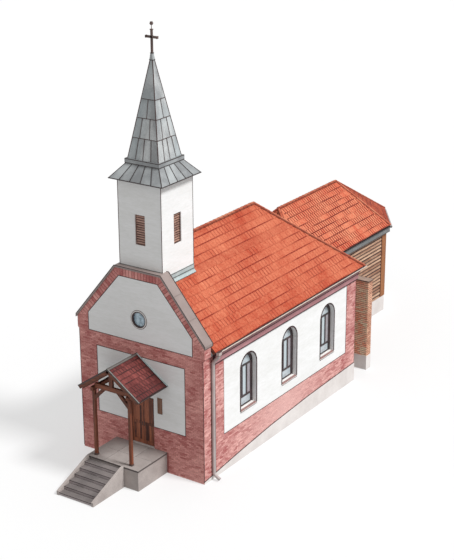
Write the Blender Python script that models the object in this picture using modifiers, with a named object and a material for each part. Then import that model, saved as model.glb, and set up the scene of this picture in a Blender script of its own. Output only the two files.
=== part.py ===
"""Village church: hollow brick nave with a front tower, timber porch and a rear annex.

Metres, +Z up. The front faces -Y. The origin is on the underside of the nave's floor,
in the middle of the nave, and Z = 0 is the lowest ground.
"""
import math

import bmesh
import bpy
from mathutils import Matrix, Vector

TOUCH = 0.0003           # gap left between pieces that touch
CUT = 0.5                # how far a cutter runs past what it cuts

# Nave
NAVE_LENGTH = 14.1
NAVE_HALF = 3.6
WALL = 0.45
FRONT_WALL = 0.5
FLOOR_TOP = 1.07
FRONT = -NAVE_LENGTH / 2
REAR = NAVE_LENGTH / 2

# Nave roof
RIDGE_Z = 10.62
EAVE_Z = 6.60
EAVE_HALF = 3.945
EAVE_REAR = FRONT + 14.37
RIDGE_REAR = FRONT + 9.69
ROOF_THICK = 0.18
ROOF_BED = 0.008         # joint between the wall heads and the roof's underside

# Front gable and its coping
DOOR_WALL_TOP = 3.68
EAR_HALF = 3.69
EAR_BOTTOM = 6.36
EAR_CORBEL = 0.08        # height over which the ear steps out of the wall
EAR_TOP = 7.09
GABLE_TOP = 9.97
GABLE_TOP_HALF = 1.335
COPING_THICK = 0.09
COPING_OVERHANG = 0.06
COPING_BACK = 0.58
OCULUS_Z = 7.52
OCULUS_HOLE = 0.40
OCULUS_FLANGE = 0.07     # how far the ring runs over the wall around its hole
OCULUS_PROUD = 0.035
OCULUS_SLEEVE = 0.14
OCULUS_RIM = 0.05

# Door
DOOR_HALF = 0.66
DOOR_FRAME_WIDTH = 0.07
DOOR_FRAME_DEPTH = 0.14
DOOR_FRAME_SET_BACK = 0.06
LEAF_THICK = 0.055
LEAF_CLEARANCE = 0.006
LEAF_MEETING_GAP = 0.014
LEAF_HEIGHT = 2.50
THRESHOLD_GAP = 0.010
HINGE_HEIGHTS = (0.25, 1.25, 2.25)          # above the leaf's lower edge
HINGE_INSET = 0.006                          # axis inwards from the leaf's edge
HINGE_RADIUS = 0.014
HINGE_SET_OFF = HINGE_RADIUS + 0.0005        # axis behind the leaf's back face
KNUCKLE = 0.06
FLAP_REACH = 0.05
FLAP_THICK = 0.006

# Side windows
WINDOW_CENTRES = (3.764, 7.474, 11.184)     # distance behind the front
WINDOW_HALF = 0.668
WINDOW_SILL = 2.51
WINDOW_APEX = 5.34
WINDOW_SET_BACK = 0.23
WINDOW_FRAME_WIDTH = 0.08
WINDOW_FRAME_DEPTH = 0.09
GLASS_THICK = 0.012
ARCH_STEPS = 16

# Cornice, gutters and downpipes
CORNICE_BOTTOM = 5.82
CORNICE_TOP = 6.40
CORNICE_OUT = 0.18
GUTTER_RADIUS = 0.075
GUTTER_SHEET = 0.008
PIPE_RADIUS = 0.07
PIPE_X = NAVE_HALF + 0.10
PIPE_Y = FRONT + 0.66
SWAN_NECK_TOP = 6.36
SWAN_NECK_BOTTOM = 6.02
SHOE_TOP = 0.30
SHOE_BOTTOM = 0.10
SHOE_REACH = 0.32
CORNICE_START = PIPE_Y + PIPE_RADIUS + 0.05

# Tower
TOWER_HALF = 1.22
TOWER_FRONT = FRONT + 0.27
TOWER_TOP = 14.12
TOWER_WALL = 0.25
TOWER_BASE = 6.90
LOUVRE_HALF = 0.285
LOUVRE_BOTTOM = 11.08
LOUVRE_TOP = 12.53
LOUVRE_SET_BACK = 0.05
LOUVRE_THICK = 0.07
BEAM_DEPTH = 0.5
SKIRT_HALF = 1.5
SKIRT_TOP_HALF = 0.9
SKIRT_TOP = 14.81
COLLAR_HALF = 0.95
COLLAR_TOP = 15.0
SPIRE_HALF = 0.86
SPIRE_TOP = 19.40
SPIRE_TOP_HALF = 0.07
SPIRE_SHEET = 0.05
FINIAL_HALF = 0.13
FINIAL_TOP = 19.69
CROSS_TOP = 20.78
CROSS_ARM_Z = 20.43
CROSS_ARM_HALF = 0.31
CROSS_BAR = 0.10
STAR_Z = 21.03
STAR_RADIUS = 0.08
STAR_ROD_HALF = 0.02

# Notice board
BOARD_LEFT, BOARD_RIGHT = 0.98, 1.25
BOARD_BOTTOM, BOARD_TOP = 3.0, 3.81
BOARD_THICK = 0.04

# Porch
PORCH_X = -0.17
PORCH_POST = 0.15
PORCH_POST_OFFSET = 1.03
PORCH_POST_Y = FRONT - 1.97
PORCH_HALF = 1.74
PORCH_VERGE = FRONT - 2.22
PORCH_EAVE_Z = 4.56
PORCH_RIDGE_Z = 5.78
PORCH_ROOF_THICK = 0.08
RAFTER_DEPTH = 0.15
RAFTER_WIDTH = 0.12
PLATE_BOTTOM = 4.44
PLATE_DEPTH = 0.20
TIE_BOTTOM = 4.58
TIE_DEPTH = 0.24
KING_WIDTH = 0.20
BRACE_RISE = 0.50
BRACE_THICK = 0.16
TRUSS_DEPTH = 0.13

# Steps
LANDING_LEFT = -1.55
LANDING_RIGHT = 1.45
LANDING_FRONT = FRONT - 2.25
STEPS_LEFT = -1.55
STEPS_RIGHT = 0.62
RISERS = 7
TREAD = 0.38
KERB_WIDTH = 0.13
KERB_RISE = 0.06

# Annex behind the nave
ANNEX_RIDGE = (-2.57, 8.13)                  # x and z of its ridge
ANNEX_RIDGE_NEAR = FRONT + 16.2
ANNEX_RIDGE_FAR = FRONT + 22.5
ANNEX_EAVE_Z = 5.44
ANNEX_EAVES = ((0.28, 14.15), (0.28, 24.2), (-1.62, 26.95),
               (-3.52, 26.95), (-5.42, 24.2), (-5.42, 14.15))
ANNEX_OVERHANG = 0.28
ANNEX_ROOF_THICK = 0.16
ANNEX_WALL = 0.30
EAVES_BOX_DEPTH = 0.26
EAVES_BOX_INSET = 0.03

# Yard wall beside the annex
YARD_WALL_NEAR = FRONT + 15.65
YARD_WALL_FAR = FRONT + 16.10
YARD_WALL_RIGHT = 3.52
YARD_WALL_TOP = 5.15
YARD_COPING = 0.10
YARD_COPING_OUT = 0.05

# Colour, roughness and metallic value of each material
FINISHES = {
    "brick": ((0.45, 0.17, 0.15), 0.9, 0.0),
    "brown_brick": ((0.28, 0.12, 0.09), 0.9, 0.0),
    "plaster": ((0.82, 0.81, 0.80), 0.85, 0.0),
    "concrete": ((0.42, 0.41, 0.42), 0.9, 0.0),
    "coping": ((0.50, 0.43, 0.43), 0.7, 0.0),
    "orange_tile": ((0.72, 0.16, 0.07), 0.8, 0.0),
    "crimson_tile": ((0.30, 0.04, 0.045), 0.7, 0.0),
    "timber": ((0.13, 0.06, 0.04), 0.7, 0.0),
    "boards": ((0.45, 0.27, 0.15), 0.75, 0.0),
    "louvre": ((0.18, 0.09, 0.06), 0.7, 0.0),
    "frame": ((0.10, 0.06, 0.05), 0.5, 0.0),
    "glass": ((0.45, 0.62, 0.70), 0.1, 0.0),
    "sheet_metal": ((0.25, 0.30, 0.33), 0.45, 0.6),
    "gutter_metal": ((0.45, 0.45, 0.43), 0.5, 0.5),
    "iron": ((0.12, 0.09, 0.08), 0.6, 0.4),
}

for old in list(bpy.data.objects):
    bpy.data.objects.remove(old, do_unlink=True)

parts = bpy.data.collections.new("village_church")
cutters = bpy.data.collections.new("village_church_cutters")
for collection in (parts, cutters):
    bpy.context.scene.collection.children.link(collection)


def finish(name):
    """The material of that name, made once."""
    if name in bpy.data.materials:
        return bpy.data.materials[name]
    colour, roughness, metallic = FINISHES[name]
    material = bpy.data.materials.new(name)
    material.use_nodes = True
    shader = material.node_tree.nodes["Principled BSDF"]
    shader.inputs["Base Color"].default_value = (*colour, 1.0)
    shader.inputs["Roughness"].default_value = roughness
    shader.inputs["Metallic"].default_value = metallic
    material.diffuse_color = (*colour, 1.0)
    return material


def keep(obj, name, material):
    """Name a piece, give it its material and put it with the parts."""
    obj.name = name
    obj.data.name = name
    obj.data.materials.clear()
    obj.data.materials.append(finish(material))
    for owner in list(obj.users_collection):
        owner.objects.unlink(obj)
    parts.objects.link(obj)
    return obj


def as_cutter(obj, name):
    """Turn a piece into a hidden cutter."""
    obj.name = name
    obj.hide_render = True
    obj.display_type = "WIRE"
    for owner in list(obj.users_collection):
        owner.objects.unlink(obj)
    cutters.objects.link(obj)
    return obj


def block(low, high):
    """A box between two corners, with its origin at its centre."""
    low, high = Vector(low), Vector(high)
    bpy.ops.mesh.primitive_cube_add(size=1.0, location=(low + high) / 2)
    obj = bpy.context.object
    obj.data.transform(Matrix.Diagonal((*(high - low), 1.0)))
    return obj


def box(name, low, high, material):
    return keep(block(low, high), name, material)


def outline(loops, depth, turn=(0.0, 0.0, 0.0), at=(0.0, 0.0, 0.0)):
    """A flat outline, with holes as further loops, extruded by depth about its plane."""
    curve = bpy.data.curves.new("outline", "CURVE")
    curve.dimensions = "2D"
    curve.fill_mode = "BOTH"
    curve.extrude = depth / 2
    for loop in loops:
        spline = curve.splines.new("POLY")
        spline.points.add(len(loop) - 1)
        for point, (u, v) in zip(spline.points, loop):
            point.co = (u, v, 0.0, 1.0)
        spline.use_cyclic_u = True
    shape = bpy.data.objects.new("outline", curve)
    shape.rotation_euler = turn
    shape.location = at
    bpy.context.scene.collection.objects.link(shape)
    return as_mesh(shape)


def as_mesh(curve_object):
    """The closed mesh of a curve, in the curve's place."""
    graph = bpy.context.evaluated_depsgraph_get()
    graph.update()
    mesh = bpy.data.meshes.new_from_object(curve_object.evaluated_get(graph))
    work = bmesh.new()
    work.from_mesh(mesh)
    bmesh.ops.remove_doubles(work, verts=work.verts, dist=0.00005)
    bmesh.ops.recalc_face_normals(work, faces=work.faces)
    work.to_mesh(mesh)
    work.free()
    solid = bpy.data.objects.new("solid", mesh)
    bpy.context.scene.collection.objects.link(solid)
    solid.matrix_world = curve_object.matrix_world.copy()
    bpy.data.objects.remove(curve_object, do_unlink=True)
    return solid


UPRIGHT = (math.pi / 2, 0.0, 0.0)                  # outline in X and Z, depth along Y
SIDEWAYS = (math.pi / 2, 0.0, math.pi / 2)         # outline in Y and Z, depth along X


def across(loops, near, far):
    """An outline in X and Z that runs from near to far along Y."""
    return outline(loops, far - near, UPRIGHT, (0.0, (near + far) / 2, 0.0))


def along(loops, left, right):
    """An outline in Y and Z that runs from left to right along X."""
    return outline(loops, right - left, SIDEWAYS, ((left + right) / 2, 0.0, 0.0))


def flat(loops, bottom, top):
    """An outline in X and Y that runs from bottom to top."""
    return outline(loops, top - bottom, at=(0.0, 0.0, (bottom + top) / 2))


def cut(obj, cutter, operation="DIFFERENCE"):
    """Apply a Boolean to a piece and remove its cutter from the scene."""
    as_cutter(cutter, "cutter")
    modifier = obj.modifiers.new("cut", "BOOLEAN")
    modifier.operation = operation
    modifier.solver = "EXACT"
    modifier.object = cutter
    graph = bpy.context.evaluated_depsgraph_get()
    graph.update()
    mesh = bpy.data.meshes.new_from_object(obj.evaluated_get(graph))
    obj.modifiers.clear()
    obj.data = mesh
    bpy.data.objects.remove(cutter, do_unlink=True)
    return obj


def shell(faces, thickness):
    """A roof of flat faces, thickened downwards, with square edges."""
    work = bmesh.new()
    corners = {}
    for face in faces:
        for corner in face:
            if corner not in corners:
                corners[corner] = work.verts.new(corner)
        work.faces.new([corners[corner] for corner in face])
    bmesh.ops.recalc_face_normals(work, faces=work.faces)
    work.normal_update()
    if sum(face.normal.z for face in work.faces) < 0:
        bmesh.ops.reverse_faces(work, faces=work.faces)
    mesh = bpy.data.meshes.new("shell")
    work.to_mesh(mesh)
    work.free()
    obj = bpy.data.objects.new("shell", mesh)
    bpy.context.scene.collection.objects.link(obj)
    return thickened(obj, thickness)


def thickened(obj, thickness):
    """Give an open surface its thickness, on the side away from its normals."""
    thick = obj.modifiers.new("thickness", "SOLIDIFY")
    thick.thickness = thickness
    thick.offset = -1.0
    thick.use_even_offset = True
    graph = bpy.context.evaluated_depsgraph_get()
    graph.update()
    mesh = bpy.data.meshes.new_from_object(obj.evaluated_get(graph))
    obj.modifiers.clear()
    obj.data = mesh
    return obj


def frustum(bottom_half, top_half, bottom, top, capped=True):
    """A square frustum with its sides along X and Y, centred on the Z axis."""
    bpy.ops.mesh.primitive_cone_add(
        vertices=4, radius1=bottom_half * math.sqrt(2), radius2=top_half * math.sqrt(2),
        depth=top - bottom, end_fill_type="NGON" if capped else "NOTHING",
        location=(0.0, 0.0, (bottom + top) / 2))
    obj = bpy.context.object
    obj.data.transform(Matrix.Rotation(math.pi / 4, 4, "Z"))
    return obj


def turned(profile, steps=48):
    """A closed profile in X and Z, turned about the Z axis."""
    mesh = bpy.data.meshes.new("turned")
    edges = [(i, (i + 1) % len(profile)) for i in range(len(profile))]
    mesh.from_pydata([(r, 0.0, z) for r, z in profile], edges, [])
    obj = bpy.data.objects.new("turned", mesh)
    bpy.context.scene.collection.objects.link(obj)
    screw = obj.modifiers.new("turn", "SCREW")
    screw.steps = steps
    screw.render_steps = steps
    screw.use_merge_vertices = True
    screw.merge_threshold = 0.0001
    graph = bpy.context.evaluated_depsgraph_get()
    graph.update()
    mesh = bpy.data.meshes.new_from_object(obj.evaluated_get(graph))
    obj.modifiers.clear()
    obj.data = mesh
    work = bmesh.new()
    work.from_mesh(mesh)
    bmesh.ops.remove_doubles(work, verts=work.verts, dist=0.0001)
    bmesh.ops.recalc_face_normals(work, faces=work.faces)
    work.to_mesh(mesh)
    work.free()
    return obj


def tube(points, radius):
    """A round bar or pipe along straight runs."""
    curve = bpy.data.curves.new("tube", "CURVE")
    curve.dimensions = "3D"
    curve.bevel_depth = radius
    curve.bevel_resolution = 2
    curve.use_fill_caps = True
    spline = curve.splines.new("POLY")
    spline.points.add(len(points) - 1)
    for point, place in zip(spline.points, points):
        point.co = (*place, 1.0)
    obj = bpy.data.objects.new("tube", curve)
    bpy.context.scene.collection.objects.link(obj)
    return as_mesh(obj)


def arch(centre, half, bottom, apex, steps=ARCH_STEPS):
    """The outline of a round-headed opening, anticlockwise from its lower left corner."""
    spring = apex - half
    points = [(centre - half, bottom), (centre + half, bottom)]
    for i in range(steps + 1):
        angle = math.pi * i / steps
        points.append((centre + half * math.cos(angle), spring + half * math.sin(angle)))
    return points


def inset(path, distance, closed):
    """Move an anticlockwise outline inwards. An open one keeps its ends on their lines."""
    count = len(path)
    sides = []
    for i in range(count if closed else count - 1):
        a, b = Vector(path[i]), Vector(path[(i + 1) % count])
        normal = Vector((-(b - a).y, (b - a).x)).normalized()
        sides.append((a + normal * distance, (b - a).normalized()))
    points = []
    for i in range(count):
        if not closed and i in (0, count - 1):
            place, direction = sides[0 if i == 0 else -1]
            end = Vector(path[i])
            points.append(tuple(place + direction * (end - place).dot(direction)))
            continue
        (p, d), (q, e) = sides[i - 1], sides[i % len(sides)]
        cross = d.x * e.y - d.y * e.x
        t = ((q - p).x * e.y - (q - p).y * e.x) / cross
        points.append(tuple(p + d * t))
    return points


def mirrored(points):
    """The points and their mirror images in X, as one outline."""
    return points + [(-u, v) for u, v in reversed(points)]


# Nave floor and walls


def nave_floor():
    inner = NAVE_HALF - WALL - TOUCH
    box("nave_floor", (-inner, FRONT + FRONT_WALL + TOUCH, 0.0),
        (inner, REAR - WALL - TOUCH, FLOOR_TOP), "concrete")


def side_window_outline(centre, margin=0.0):
    return arch(centre, WINDOW_HALF - margin, WINDOW_SILL + margin, WINDOW_APEX - margin)


def side_walls():
    for side, sign in (("right", 1), ("left", -1)):
        wall = box(f"side_wall_{side}",
                   (min(sign * NAVE_HALF, sign * (NAVE_HALF - WALL)),
                    FRONT + FRONT_WALL + TOUCH, 0.0),
                   (max(sign * NAVE_HALF, sign * (NAVE_HALF - WALL)),
                    REAR - WALL - TOUCH, roof_underside(NAVE_HALF) - ROOF_BED), "plaster")
        for centre in WINDOW_CENTRES:
            loop = side_window_outline(FRONT + centre)
            left, right = sorted((sign * (NAVE_HALF + CUT), sign * (NAVE_HALF - WALL - CUT)))
            cut(wall, along([loop], left, right))


def roof_underside(x):
    """Height of the nave roof's underside at a distance from its ridge line."""
    slope = (RIDGE_Z - EAVE_Z) / EAVE_HALF
    return RIDGE_Z - slope * x - ROOF_THICK * math.sqrt(1 + slope * slope)


def hip_underside(y):
    """Height of the rear hip's underside at a place along Y."""
    slope = (RIDGE_Z - EAVE_Z) / (EAVE_REAR - RIDGE_REAR)
    return RIDGE_Z - slope * (y - RIDGE_REAR) - ROOF_THICK * math.sqrt(1 + slope * slope)


def rear_wall():
    box("rear_wall", (-NAVE_HALF, REAR - WALL, 0.0),
        (NAVE_HALF, REAR, hip_underside(REAR) - ROOF_BED), "plaster")


def gable_edge():
    """The gable wall's sloping edge under its coping: its foot and its top."""
    lean = Vector((GABLE_TOP_HALF - EAR_HALF, GABLE_TOP - EAR_TOP)).normalized()
    drop = COPING_THICK / -lean.x
    top = GABLE_TOP_HALF - (drop - COPING_THICK) * -lean.x / lean.y
    return (EAR_HALF, EAR_TOP - drop), (top, GABLE_TOP - COPING_THICK)


def front_walls():
    opening = DOOR_HALF + DOOR_FRAME_WIDTH
    back = FRONT + FRONT_WALL
    box("front_wall_left", (-NAVE_HALF, FRONT, 0.0), (-opening, back, DOOR_WALL_TOP), "brick")
    box("front_wall_right", (opening, FRONT, 0.0), (NAVE_HALF, back, DOOR_WALL_TOP), "brick")
    box("door_threshold", (-opening + TOUCH, FRONT, 0.0), (opening - TOUCH, back, FLOOR_TOP),
        "concrete")
    right = [(NAVE_HALF, DOOR_WALL_TOP + TOUCH), (NAVE_HALF, EAR_BOTTOM - EAR_CORBEL),
             (EAR_HALF, EAR_BOTTOM), *gable_edge()]
    gable = keep(across([mirrored(right)], FRONT, back), "front_gable_wall", "brick")
    bpy.ops.mesh.primitive_cylinder_add(
        vertices=48, radius=OCULUS_HOLE, depth=FRONT_WALL + 2 * CUT,
        location=(0.0, FRONT + FRONT_WALL / 2, OCULUS_Z), rotation=UPRIGHT)
    cut(gable, bpy.context.object)


def gable_coping():
    (foot_x, foot_z), (top_x, top_z) = gable_edge()
    end = EAR_HALF + COPING_OVERHANG
    right = [(GABLE_TOP_HALF, GABLE_TOP), (end, EAR_TOP - COPING_OVERHANG),
             (end, foot_z - COPING_OVERHANG), (foot_x + TOUCH, foot_z + TOUCH),
             (top_x, top_z + TOUCH)]
    coping = keep(across([mirrored(right)], FRONT - COPING_OVERHANG, FRONT + COPING_BACK),
                  "gable_coping", "coping")
    reach = TOWER_HALF + TOUCH
    cut(coping, block((-reach, TOWER_FRONT - TOUCH, GABLE_TOP - 1.0),
                      (reach, FRONT + COPING_BACK + CUT, GABLE_TOP + 1.0)))


# Nave roof


def nave_roof():
    start = FRONT + FRONT_WALL + TOUCH
    eave_right, eave_left = (EAVE_HALF, start, EAVE_Z), (-EAVE_HALF, start, EAVE_Z)
    rear_right, rear_left = (EAVE_HALF, EAVE_REAR, EAVE_Z), (-EAVE_HALF, EAVE_REAR, EAVE_Z)
    ridge_front, ridge_rear = (0.0, start, RIDGE_Z), (0.0, RIDGE_REAR, RIDGE_Z)
    roof = keep(shell([(eave_right, rear_right, ridge_rear, ridge_front),
                       (eave_left, ridge_front, ridge_rear, rear_left),
                       (rear_right, rear_left, ridge_rear)], ROOF_THICK),
                "nave_roof", "orange_tile")
    reach = TOWER_HALF + TOUCH
    cut(roof, block((-reach, start - CUT, EAVE_Z), (reach, TOWER_FRONT + 2 * TOWER_HALF + TOUCH,
                                                   RIDGE_Z + CUT)))
    cut(roof, block((-EAVE_HALF - CUT, start - CUT, EAVE_Z - CUT),
                    (EAVE_HALF + CUT, start, RIDGE_Z + CUT)))


def eaves_cornice():
    outer = NAVE_HALF + CORNICE_OUT
    band = block((-outer, CORNICE_START, CORNICE_BOTTOM),
                 (outer, REAR + CORNICE_OUT, CORNICE_TOP))
    work = bmesh.new()
    work.from_mesh(band.data)
    lower = [edge for edge in work.edges
             if all(vert.co.z < 0 for vert in edge.verts)
             and not all(vert.co.y < 0 for vert in edge.verts)]
    bmesh.ops.bevel(work, geom=lower, offset=CORNICE_OUT * 0.8, segments=3, profile=0.3,
                    affect="EDGES")
    work.to_mesh(band.data)
    work.free()
    inner = NAVE_HALF + TOUCH
    cut(band, block((-inner, CORNICE_START - CUT, CORNICE_BOTTOM - CUT),
                    (inner, REAR + TOUCH, CORNICE_TOP + CUT)))
    keep(band, "eaves_cornice", "brick")


def gutter_outline(centre_u, rim_z, sign=1):
    """Half-round trough: outer arc, then inner arc back."""
    inner = GUTTER_RADIUS - GUTTER_SHEET
    loop = []
    for radius, angles in ((GUTTER_RADIUS, range(0, 9)), (inner, range(8, -1, -1))):
        for i in angles:
            angle = math.pi + math.pi * i / 8
            loop.append((centre_u + sign * radius * math.cos(angle),
                         rim_z + radius * math.sin(angle)))
    return loop


def gutters():
    centre = EAVE_HALF + TOUCH + GUTTER_RADIUS
    start = FRONT + FRONT_WALL + 0.05
    for side, sign in (("right", 1), ("left", -1)):
        keep(across([gutter_outline(sign * centre, EAVE_Z, sign)], start, EAVE_REAR),
             f"gutter_{side}", "gutter_metal")
    reach = EAVE_HALF - 0.01
    keep(along([gutter_outline(EAVE_REAR + TOUCH + GUTTER_RADIUS, EAVE_Z)], -reach, reach),
         "gutter_rear", "gutter_metal")


def downpipes():
    for side, sign in (("right", 1), ("left", -1)):
        outlet = EAVE_HALF + TOUCH + GUTTER_RADIUS
        top = EAVE_Z - GUTTER_RADIUS - TOUCH
        places = [(outlet, top), (outlet, SWAN_NECK_TOP), (PIPE_X, SWAN_NECK_BOTTOM),
                  (PIPE_X, SHOE_TOP), (PIPE_X + SHOE_REACH, SHOE_BOTTOM)]
        keep(tube([(sign * x, PIPE_Y, z) for x, z in places], PIPE_RADIUS),
             f"downpipe_{side}", "gutter_metal")


# Windows and oculus


def window(name, centre, sign):
    """One side window behind the wall's outer face: a frame around a thin pane, as one piece."""
    face = NAVE_HALF - WINDOW_SET_BACK
    back = face - WINDOW_FRAME_DEPTH
    pane_out = (face + back + GLASS_THICK) / 2
    pane_in = pane_out - GLASS_THICK
    sheet = along([side_window_outline(centre, TOUCH)], *sorted((sign * face, sign * back)))
    inner = side_window_outline(centre, WINDOW_FRAME_WIDTH)
    for start, end in ((pane_out, face + CUT), (back - CUT, pane_in)):
        cut(sheet, along([inner], *sorted((sign * start, sign * end))))
    keep(sheet, f"window_{name}", "frame")


def side_windows():
    for side, sign in (("right", 1), ("left", -1)):
        for number, centre in enumerate(WINDOW_CENTRES, 1):
            window(f"{side}_{number}", FRONT + centre, sign)


def oculus():
    flange, sleeve = OCULUS_HOLE + OCULUS_FLANGE, OCULUS_HOLE - TOUCH
    bore = OCULUS_HOLE - OCULUS_RIM
    ring = turned([(flange, TOUCH), (flange, OCULUS_PROUD), (bore, OCULUS_PROUD),
                   (bore, -OCULUS_SLEEVE), (sleeve, -OCULUS_SLEEVE), (sleeve, TOUCH)])
    ring.rotation_euler = UPRIGHT
    ring.location = (0.0, FRONT, OCULUS_Z)
    keep(ring, "oculus_frame", "coping")
    bpy.ops.mesh.primitive_cylinder_add(
        vertices=48, radius=bore - TOUCH, depth=GLASS_THICK,
        location=(0.0, FRONT + OCULUS_SLEEVE / 2, OCULUS_Z), rotation=UPRIGHT)
    keep(bpy.context.object, "oculus_glass", "glass")


# Door


def front_door():
    near = FRONT + DOOR_FRAME_SET_BACK
    far = near + DOOR_FRAME_DEPTH
    outer = DOOR_HALF + DOOR_FRAME_WIDTH - TOUCH
    head = FLOOR_TOP + THRESHOLD_GAP + LEAF_HEIGHT + LEAF_CLEARANCE
    floor = FLOOR_TOP + TOUCH
    loop = [(-outer, floor), (-DOOR_HALF, floor), (-DOOR_HALF, head), (DOOR_HALF, head),
            (DOOR_HALF, floor), (outer, floor), (outer, DOOR_WALL_TOP), (-outer, DOOR_WALL_TOP)]
    frame = across([loop], near, far)
    width = DOOR_HALF - LEAF_CLEARANCE - LEAF_MEETING_GAP / 2
    bottom = FLOOR_TOP + THRESHOLD_GAP
    for side, sign in (("left", -1), ("right", 1)):
        edge = DOOR_HALF - LEAF_CLEARANCE
        axis = (sign * (edge - HINGE_INSET), far + HINGE_SET_OFF)
        leaf = block((min(sign * edge, sign * (edge - width)), far - LEAF_THICK, bottom),
                     (max(sign * edge, sign * (edge - width)), far, bottom + LEAF_HEIGHT))
        for height in HINGE_HEIGHTS:
            z = bottom + height
            hinge_half(frame, axis, sign, z - KNUCKLE - TOUCH, far + TOUCH, far - FLAP_THICK)
            hinge_half(leaf, axis, -sign, z, far, far - FLAP_THICK)
        hinge = Vector((axis[0], axis[1], bottom))
        leaf.data.transform(Matrix.Translation(-hinge) @ leaf.matrix_world)
        leaf.matrix_world = Matrix.Translation(hinge)
        keep(leaf, f"door_leaf_{side}", "timber")
    keep(frame, "door_frame", "timber")


def hinge_half(owner, axis, side, bottom, face, root):
    """A knuckle on the hinge axis with a flap let into its owner, joined to it."""
    x, y = axis
    bpy.ops.mesh.primitive_cylinder_add(vertices=16, radius=HINGE_RADIUS, depth=KNUCKLE,
                                        location=(x, y, bottom + KNUCKLE / 2))
    knuckle = bpy.context.object
    cut(owner, knuckle, "UNION")
    flap_end = x + side * FLAP_REACH
    flap = block((min(x, flap_end), face, bottom), (max(x, flap_end), face + FLAP_THICK,
                                                    bottom + KNUCKLE))
    cut(owner, flap, "UNION")
    screw_end = x + side * (FLAP_REACH - 0.01)
    screw_start = x + side * (FLAP_REACH - 0.02)
    screw = block((min(screw_start, screw_end), root, bottom + KNUCKLE / 3),
                  (max(screw_start, screw_end), face + FLAP_THICK / 2, bottom + 2 * KNUCKLE / 3))
    cut(owner, screw, "UNION")


def notice_board():
    box("notice_board", (BOARD_LEFT, FRONT - BOARD_THICK, BOARD_BOTTOM),
        (BOARD_RIGHT, FRONT - TOUCH, BOARD_TOP), "timber")


# Porch


def porch_underside(offset, depth):
    """Height of the porch roof at an offset from its ridge, less a depth square to it."""
    slope = (PORCH_RIDGE_Z - PORCH_EAVE_Z) / PORCH_HALF
    return PORCH_RIDGE_Z - slope * offset - depth * math.sqrt(1 + slope * slope)


def porch():
    half = PORCH_POST / 2
    near, far = PORCH_POST_Y - half, PORCH_POST_Y + half
    truss = (PORCH_POST_Y - TRUSS_DEPTH / 2, PORCH_POST_Y + TRUSS_DEPTH / 2)
    slope = (PORCH_RIDGE_Z - PORCH_EAVE_Z) / PORCH_HALF
    for side, sign in (("left", -1), ("right", 1)):
        x = PORCH_X + sign * PORCH_POST_OFFSET
        box(f"porch_post_{side}", (x - half, near, FLOOR_TOP + TOUCH),
            (x + half, far, PLATE_BOTTOM), "timber")
        box(f"porch_plate_{side}", (x - half, PORCH_VERGE + 0.05, PLATE_BOTTOM + TOUCH),
            (x + half, FRONT - TOUCH, PLATE_BOTTOM + PLATE_DEPTH), "timber")
        foot = PORCH_POST_OFFSET - half - TOUCH
        lower = TIE_BOTTOM - BRACE_RISE
        along_tie = foot - (TIE_BOTTOM - lower)
        slant = BRACE_THICK * math.sqrt(2)
        brace = [(foot, lower - slant / 2), (foot, lower + slant / 2),
                 (along_tie + slant / 2, TIE_BOTTOM - TOUCH),
                 (along_tie - slant / 2, TIE_BOTTOM - TOUCH)]
        keep(across([[(PORCH_X + sign * u, v) for u, v in brace]], *truss),
             f"porch_brace_{side}", "timber")
    inner = PORCH_POST_OFFSET - half - TOUCH
    box("porch_tie_beam", (PORCH_X - inner, truss[0], TIE_BOTTOM),
        (PORCH_X + inner, truss[1], TIE_BOTTOM + TIE_DEPTH), "timber")
    deep = PORCH_ROOF_THICK + RAFTER_DEPTH
    stop = PORCH_HALF - 0.08
    upper = [(stop, porch_underside(stop, PORCH_ROOF_THICK) - TOUCH),
             (0.0, porch_underside(0.0, PORCH_ROOF_THICK) - TOUCH),
             (-stop, porch_underside(stop, PORCH_ROOF_THICK) - TOUCH)]
    lower = [(-stop, porch_underside(stop, deep)), (0.0, porch_underside(0.0, deep)),
             (stop, porch_underside(stop, deep))]
    keep(across([[(PORCH_X + u, v) for u, v in upper + lower]],
                PORCH_POST_Y - RAFTER_WIDTH / 2, PORCH_POST_Y + RAFTER_WIDTH / 2),
         "porch_rafters", "timber")
    shoulder = KING_WIDTH / 2
    king = [(-shoulder, TIE_BOTTOM + TIE_DEPTH + TOUCH), (shoulder, TIE_BOTTOM + TIE_DEPTH + TOUCH),
            (shoulder, porch_underside(shoulder, deep) - TOUCH),
            (0.0, porch_underside(0.0, deep) - TOUCH),
            (-shoulder, porch_underside(shoulder, deep) - TOUCH)]
    keep(across([[(PORCH_X + u, v) for u, v in king]], *truss), "porch_king_post", "timber")
    top = [(PORCH_HALF, PORCH_EAVE_Z), (0.0, PORCH_RIDGE_Z), (-PORCH_HALF, PORCH_EAVE_Z)]
    lean = math.sqrt(1 + slope * slope)
    under = [(-PORCH_HALF + PORCH_ROOF_THICK * slope / lean,
              PORCH_EAVE_Z - PORCH_ROOF_THICK / lean),
             (0.0, porch_underside(0.0, PORCH_ROOF_THICK)),
             (PORCH_HALF - PORCH_ROOF_THICK * slope / lean,
              PORCH_EAVE_Z - PORCH_ROOF_THICK / lean)]
    keep(across([[(PORCH_X + u, v) for u, v in top + under]], PORCH_VERGE, FRONT - TOUCH),
         "porch_roof", "crimson_tile")


# Landing and steps


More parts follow.
